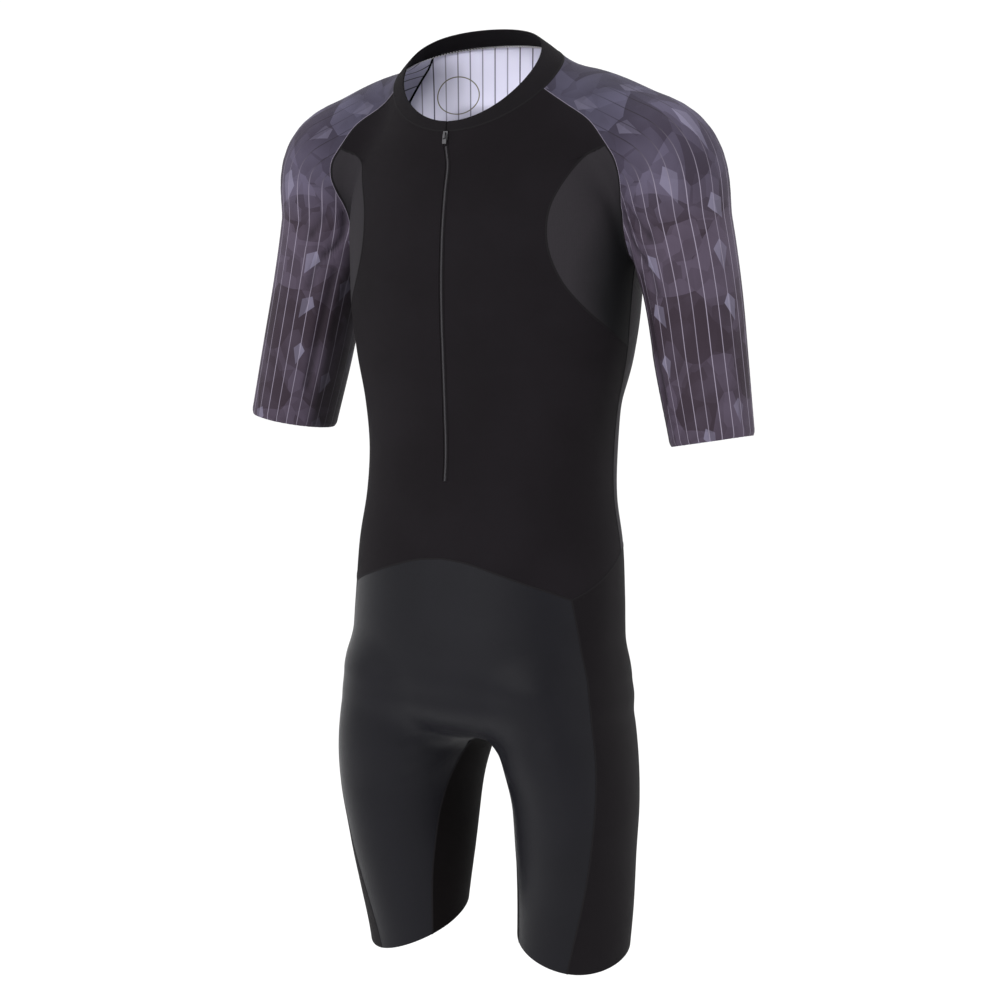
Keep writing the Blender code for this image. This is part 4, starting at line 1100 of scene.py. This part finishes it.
def gusset():
    grid = panelGrid(crotch[::-1], hemInner[::-1], gussetBack, gussetFront)
    onBothSides("inner_thigh", "gusset", "gusset_knit", grid, metricMap(grid), gussetKnit)


slitEdge = frontBodice()
backPiece = backBodice()
sideInsert()
addSleeves()
shortsFront()
seat()
gusset()
print("panels made")

# The collar's bulge outside and inside in shares of the bulge, its fold in a share of its height
collarSizes = {"thickness": 0.0022, "opening": 0.0016, "seamGap": 0.0003, "bulge": 0.0010, "steps": 8,
               "outerBulge": 0.5, "innerBulge": 0.3, "fold": 0.08}


def collar():
    # The band's lower and upper line, with a narrow opening left at the front for the zip
    neck = chain(neckFront, neckShoulder, neckBack)
    angles = np.radians(np.concatenate([
        np.linspace(0, neckAngles["front"], spans["neckFront"] + 1)[:-1],
        np.linspace(neckAngles["front"], neckAngles["back"], spans["neckShoulder"] + 1)[:-1],
        np.linspace(neckAngles["back"], 180, spans["neckBack"] + 1)]))
    rim = ringPoints(collarRim, angles)
    foot = neck + unit(rim - neck) * collarSizes["seamGap"]
    for border in (foot, rim):
        border[0] += (border[1] - border[0]) * collarSizes["opening"] / 2 / border[1, 0]
    return np.concatenate([foot, mirror(foot[-2::-1])]), np.concatenate([rim, mirror(rim[-2::-1])])


def bandGrid(foot, rim):
    # A folded band from the front round the back to the front, foot + high * up + aside * out: its
    # section (high, aside) runs up the outside, round the top fold and down the inside
    up = rim - foot
    out = unit(np.cross(np.gradient(foot, axis=0), up))
    half = collarSizes["thickness"] / 2
    climb = np.linspace(0, 1, collarSizes["steps"] + 1)
    fold = np.linspace(0, np.pi, 7)[1:-1]
    bulge = collarSizes["bulge"] * np.sin(np.pi * climb)
    high = np.concatenate([climb, 1 + np.sin(fold) * collarSizes["fold"], climb[::-1]])
    aside = np.concatenate([bulge * collarSizes["outerBulge"], half * np.cos(fold) - half,
                            bulge[::-1] * collarSizes["innerBulge"] - 2 * half])
    return foot + high[:, None, None] * up + aside[:, None, None] * out


def addCollar():
    foot, rim = collar()
    quarter = len(foot) // 4
    if np.cross(np.gradient(foot, axis=0), rim - foot)[quarter] @ (foot[quarter] - foot.mean(axis=0)) < 0:
        foot, rim = foot[::-1], rim[::-1]
    grid = bandGrid(foot, rim)
    sections, places = grid.shape[:2]
    number = np.arange(sections * places).reshape(sections, places)
    quads = cellCorners(np.concatenate([number, number[:1]]))
    faces = [*quads, number[:, 0], number[::-1, -1]]
    piece = addPiece("collar_band", grid.reshape(-1, 3), faces, [collarKnit], 60)
    climbed = walked(grid[:, places // 2])
    flat = np.stack(np.meshgrid(walked(grid[0]), np.append(climbed, climbed[-1] + 0.001)), axis=2)
    setMap(piece.data, np.concatenate([cellCorners(flat).reshape(-1, 2), np.zeros((2 * sections, 2))]))
    declareCloth("collar")


addCollar()
print("collar made")


# Seams: a flat sewn ridge carried along each seam
def sweep(lines, profile):
    # A closed profile of (sideways, outward) points carried along each line; ends are capped
    points, faces, base = [], [], 0
    for line, normal in lines:
        side = unit(np.cross(normal, np.gradient(line, axis=0)))
        ring = np.stack([line + a * side + b * normal for a, b in profile], axis=1)
        count, around = ring.shape[:2]
        number = base + np.arange(count * around).reshape(count, around)
        points.append(ring.reshape(-1, 3))
        faces += [*cellCorners(np.concatenate([number, number[:, :1]], axis=1)), number[0, ::-1], number[-1]]
        base += count * around
    return np.concatenate(points), faces


def withMirror(lines):
    both = []
    for line in lines:
        normal = outward(line)
        line = press(line, normal)[0]
        both += [(line, normal), (mirror(line[::-1]), mirror(normal[::-1]))]
    return both


ridge = {"half": 0.0011, "height": 0.00035, "below": 0.0004}


def ridgeProfile(half, height, shift=0.0):
    # Flat on top, with sloped sides and its foot in the cloth
    side = [(1.0, -ridge["below"]), (0.9, height * 0.5), (0.4, height)]
    return [(shift + half * a, b) for a, b in side] + [(shift - half * a, b) for a, b in side[::-1]]


raglanLine = chain(raglanFrontUpper, raglanFrontLower)
neckLineHalf = chain(neckFront, neckShoulder, neckBack)
neckLineHalf[0] += (neckLineHalf[1] - neckLineHalf[0]) * zipSizes["tapeWidth"] / 2 / neckLineHalf[1, 0]
sewn = [raglanLine, raglanBack, insertArc, chain(sideUpper, sideLower), sideFront, gussetFront, gussetBack,
        chain(waistFront, waistSide, waistBack), neckLineHalf]
points, faces = sweep(withMirror(sewn), ridgeProfile(ridge["half"], ridge["height"]))
addPiece("sewn_seams", lengthenRightLeg(points), faces, [blackThread])
# a pale thread line on the sleeve's side of each raglan seam
paleLine = {"half": 0.00028, "height": 0.00022, "shift": 0.0015}
for line, name, sign in ((raglanLine, "raglan_thread_front", 1), (raglanBack, "raglan_thread_back", -1)):
    profile = ridgeProfile(paleLine["half"], paleLine["height"], sign * paleLine["shift"])
    addPiece(name, *sweep(withMirror([line]), profile), [paleThread])

# inner side of the raglan seams: a dark flat ridge
innerRidge = {"half": 0.0012, "height": 0.0004, "inside": 0.0011}
turnedIn = [(line - innerRidge["inside"] * normal, -normal)
            for line, normal in withMirror([raglanLine, raglanBack])]
profile = ridgeProfile(innerRidge["half"], innerRidge["height"])
addPiece("inner_seams", *sweep(turnedIn, profile), [blackThread])

# white overlock thread on the inner side of the back neck seam: from over the collar's lower edge
# (top) to the back panel (foot), with its ends' sideways place and its place inside the suit
overlock = {"pitch": 0.0017, "thread": 0.00040, "top": 0.0030, "topInside": 0.0041,
            "foot": -0.0019, "footInside": 0.0015}
neckRear = chain(neckShoulder, neckBack, mirror(neckBack[::-1]), mirror(neckShoulder[::-1]))
normal = outward(neckRear)
upward = unit(np.cross(normal, np.gradient(neckRear, axis=0)))
upward *= np.sign(upward[len(upward) // 2, 2])
shares = np.linspace(0, 1, int(walked(neckRear)[-1] / overlock["pitch"]))
high = (np.arange(len(shares)) % 2)[:, None]
rise = overlock["foot"] + (overlock["top"] - overlock["foot"]) * high
inside = overlock["footInside"] + (overlock["topInside"] - overlock["footInside"]) * high
away = alongLine(normal, neckRear, shares)
zigzag = resample(neckRear, shares) + rise * alongLine(upward, neckRear, shares) - inside * away
thread = overlock["thread"]
points, faces = sweep([(zigzag, -away)], [(thread, 0), (0, thread), (-thread, 0), (0, -thread)])
neckThread = addPiece("neck_overlock", points, faces, [whiteThread])

# dotted stitches round the pad's edge
padStitch = {"pitch": 0.0032, "share": 0.55, "half": 0.00035, "height": 0.0003}
dots = []
for edge in padEdges:
    route = settle(np.array(edge[2:]) * mm, 8)
    dense = settle(smoothCurve(arcShare(route), route, np.linspace(0, 1, 60)), 8)
    count = int(walked(dense)[-1] / padStitch["pitch"])
    for k in range(count):
        dots.append(settle(resample(dense, (k + np.linspace(0, padStitch["share"], 3)) / count), 6))
profile = ridgeProfile(padStitch["half"], padStitch["height"])
addPiece("pad_stitches", *sweep(withMirror(dots), profile), [greyThread])
print("seams sewn")

# Zip: tape in the slit, a coil of two rows of teeth down its middle. Tape sections: share of half
# the width, and height. Tooth corners: shares of half the coil's width, its height and the thread.
tapeSection = ((1, -0.0011), (1, -0.0003), (0.4, 0.0), (-0.4, 0.0), (-1, -0.0003), (-1, -0.0011))
collarTapeSection = ((1, -0.0019), (1, -0.0003), (0, 0.0001), (-1, -0.0003), (-1, -0.0019))
toothCorners = ((-0.25, 0.1, -0.9), (1.0, 0.1, -0.9), (1.0, 0.1, 0.9), (-0.25, 0.1, 0.9),
                (-0.15, 1.0, -0.5), (0.75, 1.0, -0.5), (0.75, 1.0, 0.5), (-0.15, 1.0, 0.5))
toothFaces = np.array([(0, 3, 2, 1), (4, 5, 6, 7), (0, 1, 5, 4), (1, 2, 6, 5), (2, 3, 7, 6), (3, 0, 4, 7)])


def zipTape(line, normal):
    # In the slit, and above it in the collar's front opening
    foot, rim = (border[0] * (0, 1, 1) for border in collar())
    rise = np.linspace(0, 1, 5)[:, None] * (rim - foot) * zipSizes["collarShare"] + foot
    away = unit(np.cross((1.0, 0.0, 0.0), rim - foot))
    away = np.repeat(-np.sign(away[1]) * away[None], len(rise), axis=0)
    half, fill = zipSizes["tapeWidth"] / 2, (collarSizes["opening"] - zipSizes["gap"]) / 2
    lower, lowerFaces = sweep([(line, normal)], [(half * a, b) for a, b in tapeSection])
    upper, upperFaces = sweep([(rise, away)], [(fill * a, b) for a, b in collarTapeSection])
    faces = lowerFaces + [face + len(lower) for face in upperFaces]
    tape = addPiece("zip_tape_cloth", np.concatenate([lower, upper]), faces, [zipTapeCloth])
    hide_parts("zip_tape")


def zipTeeth(line, normal):
    # Small blocks at even steps along the line, left and right by turns
    length = walked(line)[-1]
    count = int(length / zipSizes["pitch"]) * 2
    shares = (np.arange(count) + 0.5) / count
    shares = shares[shares * length > zipSizes["firstTooth"]]
    out = alongLine(normal, line, shares)
    odd = np.arange(len(shares)) % 2 == 1
    across = np.where(odd, -1.0, 1.0)[:, None] * (1.0, 0.0, 0.0) * zipSizes["coilWidth"] / 2
    down = np.cross(out, (1.0, 0.0, 0.0)) * zipSizes["thread"] / 2
    blocks = np.stack([resample(line, shares) + across * a + out * (b * zipSizes["coilHeight"]) + down * c
                       for a, b, c in toothCorners], axis=1)
    faces = np.arange(len(blocks))[:, None, None] * len(toothCorners) + toothFaces
    faces[odd] = faces[odd][:, :, ::-1]
    coil = addPiece("zip_coil", blocks.reshape(-1, 3), faces.reshape(-1, 4), [zipCoil], sharp=None)


slitNormal = unit(outward(slitEdge * (0, 1, 1)) * (0, 1, 1))
zipTape(slitEdge * (0, 1, 1), slitNormal)
zipTeeth(slitEdge * (0, 1, 1), slitNormal)


def metalPiece(name, source, body, bevel):
    # The plain metal piece with its edges rounded
    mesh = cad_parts[source].data.copy()
    mesh.name = name
    work = bmesh.new()
    work.from_mesh(mesh)
    bmesh.ops.remove_doubles(work, verts=work.verts, dist=1e-6)
    bmesh.ops.dissolve_limit(work, angle_limit=0.02, verts=work.verts, edges=work.edges)
    work.to_mesh(mesh)
    work.free()
    mesh.materials.clear()
    mesh.materials.append(zipSteel)
    piece = addObject(name, mesh)
    rounding = piece.modifiers.new("rounding", "BEVEL")
    rounding.width, rounding.segments, rounding.limit_method = bevel, 2, "ANGLE"
    rounding.harden_normals = False
    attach(piece, body)
    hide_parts(source)


metalPiece("zip_slider_metal", "zip_slider", "suit", 0.00025)
metalPiece("zip_pull_metal", "zip_pull", "pull", 0.00018)
print("zip made")

# Floor, light and camera
studio = {"floor": -1.75, "floorSize": 60.0, "world": 1.06}
half, level = studio["floorSize"] / 2, studio["floor"]
floorMesh = bpy.data.meshes.new("floor")
places = [(x * half, y * half, level) for x, y in ((-1, -1), (1, -1), (1, 1), (-1, 1))]
floorMesh.from_pydata(places, [], [(0, 1, 2, 3)])
floorPaint, _, shader = newMaterial("floorPaint", 0.9, specular=0.1)
shader.inputs["Base Color"].default_value = (0.985, 0.985, 0.985, 1.0)
floorMesh.materials.append(floorPaint)
addObject("floor", floorMesh)

world = bpy.data.worlds.new("studio")
world.use_nodes = True
background = world.node_tree.nodes["Background"]
background.inputs["Color"].default_value = (1, 1, 1, 1)
background.inputs["Strength"].default_value = studio["world"]
scene.world = world
scene.view_settings.view_transform = "Standard"


def stand(made, place, right, back):
    # Turned so that it looks along the reverse of "back"
    made.matrix_world = Matrix.Translation(place) @ Matrix(
        np.column_stack([right, np.cross(back, right), back]).tolist()).to_4x4()


def softLight(name, place, aim, size, power):
    lamp = bpy.data.lights.new(name, "AREA")
    lamp.shape, lamp.size, lamp.size_y, lamp.energy = "RECTANGLE", size[0], size[1], power
    made = addObject(name, lamp)
    back = unit(np.array(place) - np.array(aim))
    stand(made, place, unit(np.cross((0, 0, 1), back)), back)
    return made


softLight("keyLight", (-0.55, -2.7, 0.2), (0, 0, -0.45), (0.45, 2.4), 31)
softLight("sideLight", (2.6, -0.4, 0.0), (0, 0, -0.45), (0.40, 2.2), 7)
softLight("topLight", (0.2, 0.4, 1.9), (0, 0, -0.3), (1.6, 1.2), 12)
# a lamp for the inner side of the back alone, which looks in over the collar
neckLamp = softLight("neckLight", (0.93, -1.80, 0.95), (-0.04, 0.04, -0.01), (0.5, 0.5), 36)
lit = bpy.data.collections.new("litByNeckLight")
lit.objects.link(backPiece)
lit.objects.link(neckThread)
neckLamp.light_linking.receiver_collection = lit

# The camera stands to the front and on the wearer's left, and looks slightly down
shot = {"turn": 29.6, "distance": 2.561, "height": -0.138, "aside": 0.0076, "pitch": 7.14, "lens": 84.8,
        "sensor": 36.0}
turn, pitch = np.radians(shot["turn"]), np.radians(shot["pitch"])
right = np.array((np.cos(turn), np.sin(turn), 0.0))
ahead = np.array((-np.sin(turn), np.cos(turn), 0.0))
looking = ahead * np.cos(pitch) - (0.0, 0.0, np.sin(pitch))
place = -ahead * shot["distance"] + right * shot["aside"] + (0.0, 0.0, shot["height"])
camera = addObject("camera", bpy.data.cameras.new("camera"))
camera.data.lens, camera.data.sensor_width = shot["lens"], shot["sensor"]
stand(camera, place, right, -looking)
scene.camera = camera
print("stage set")
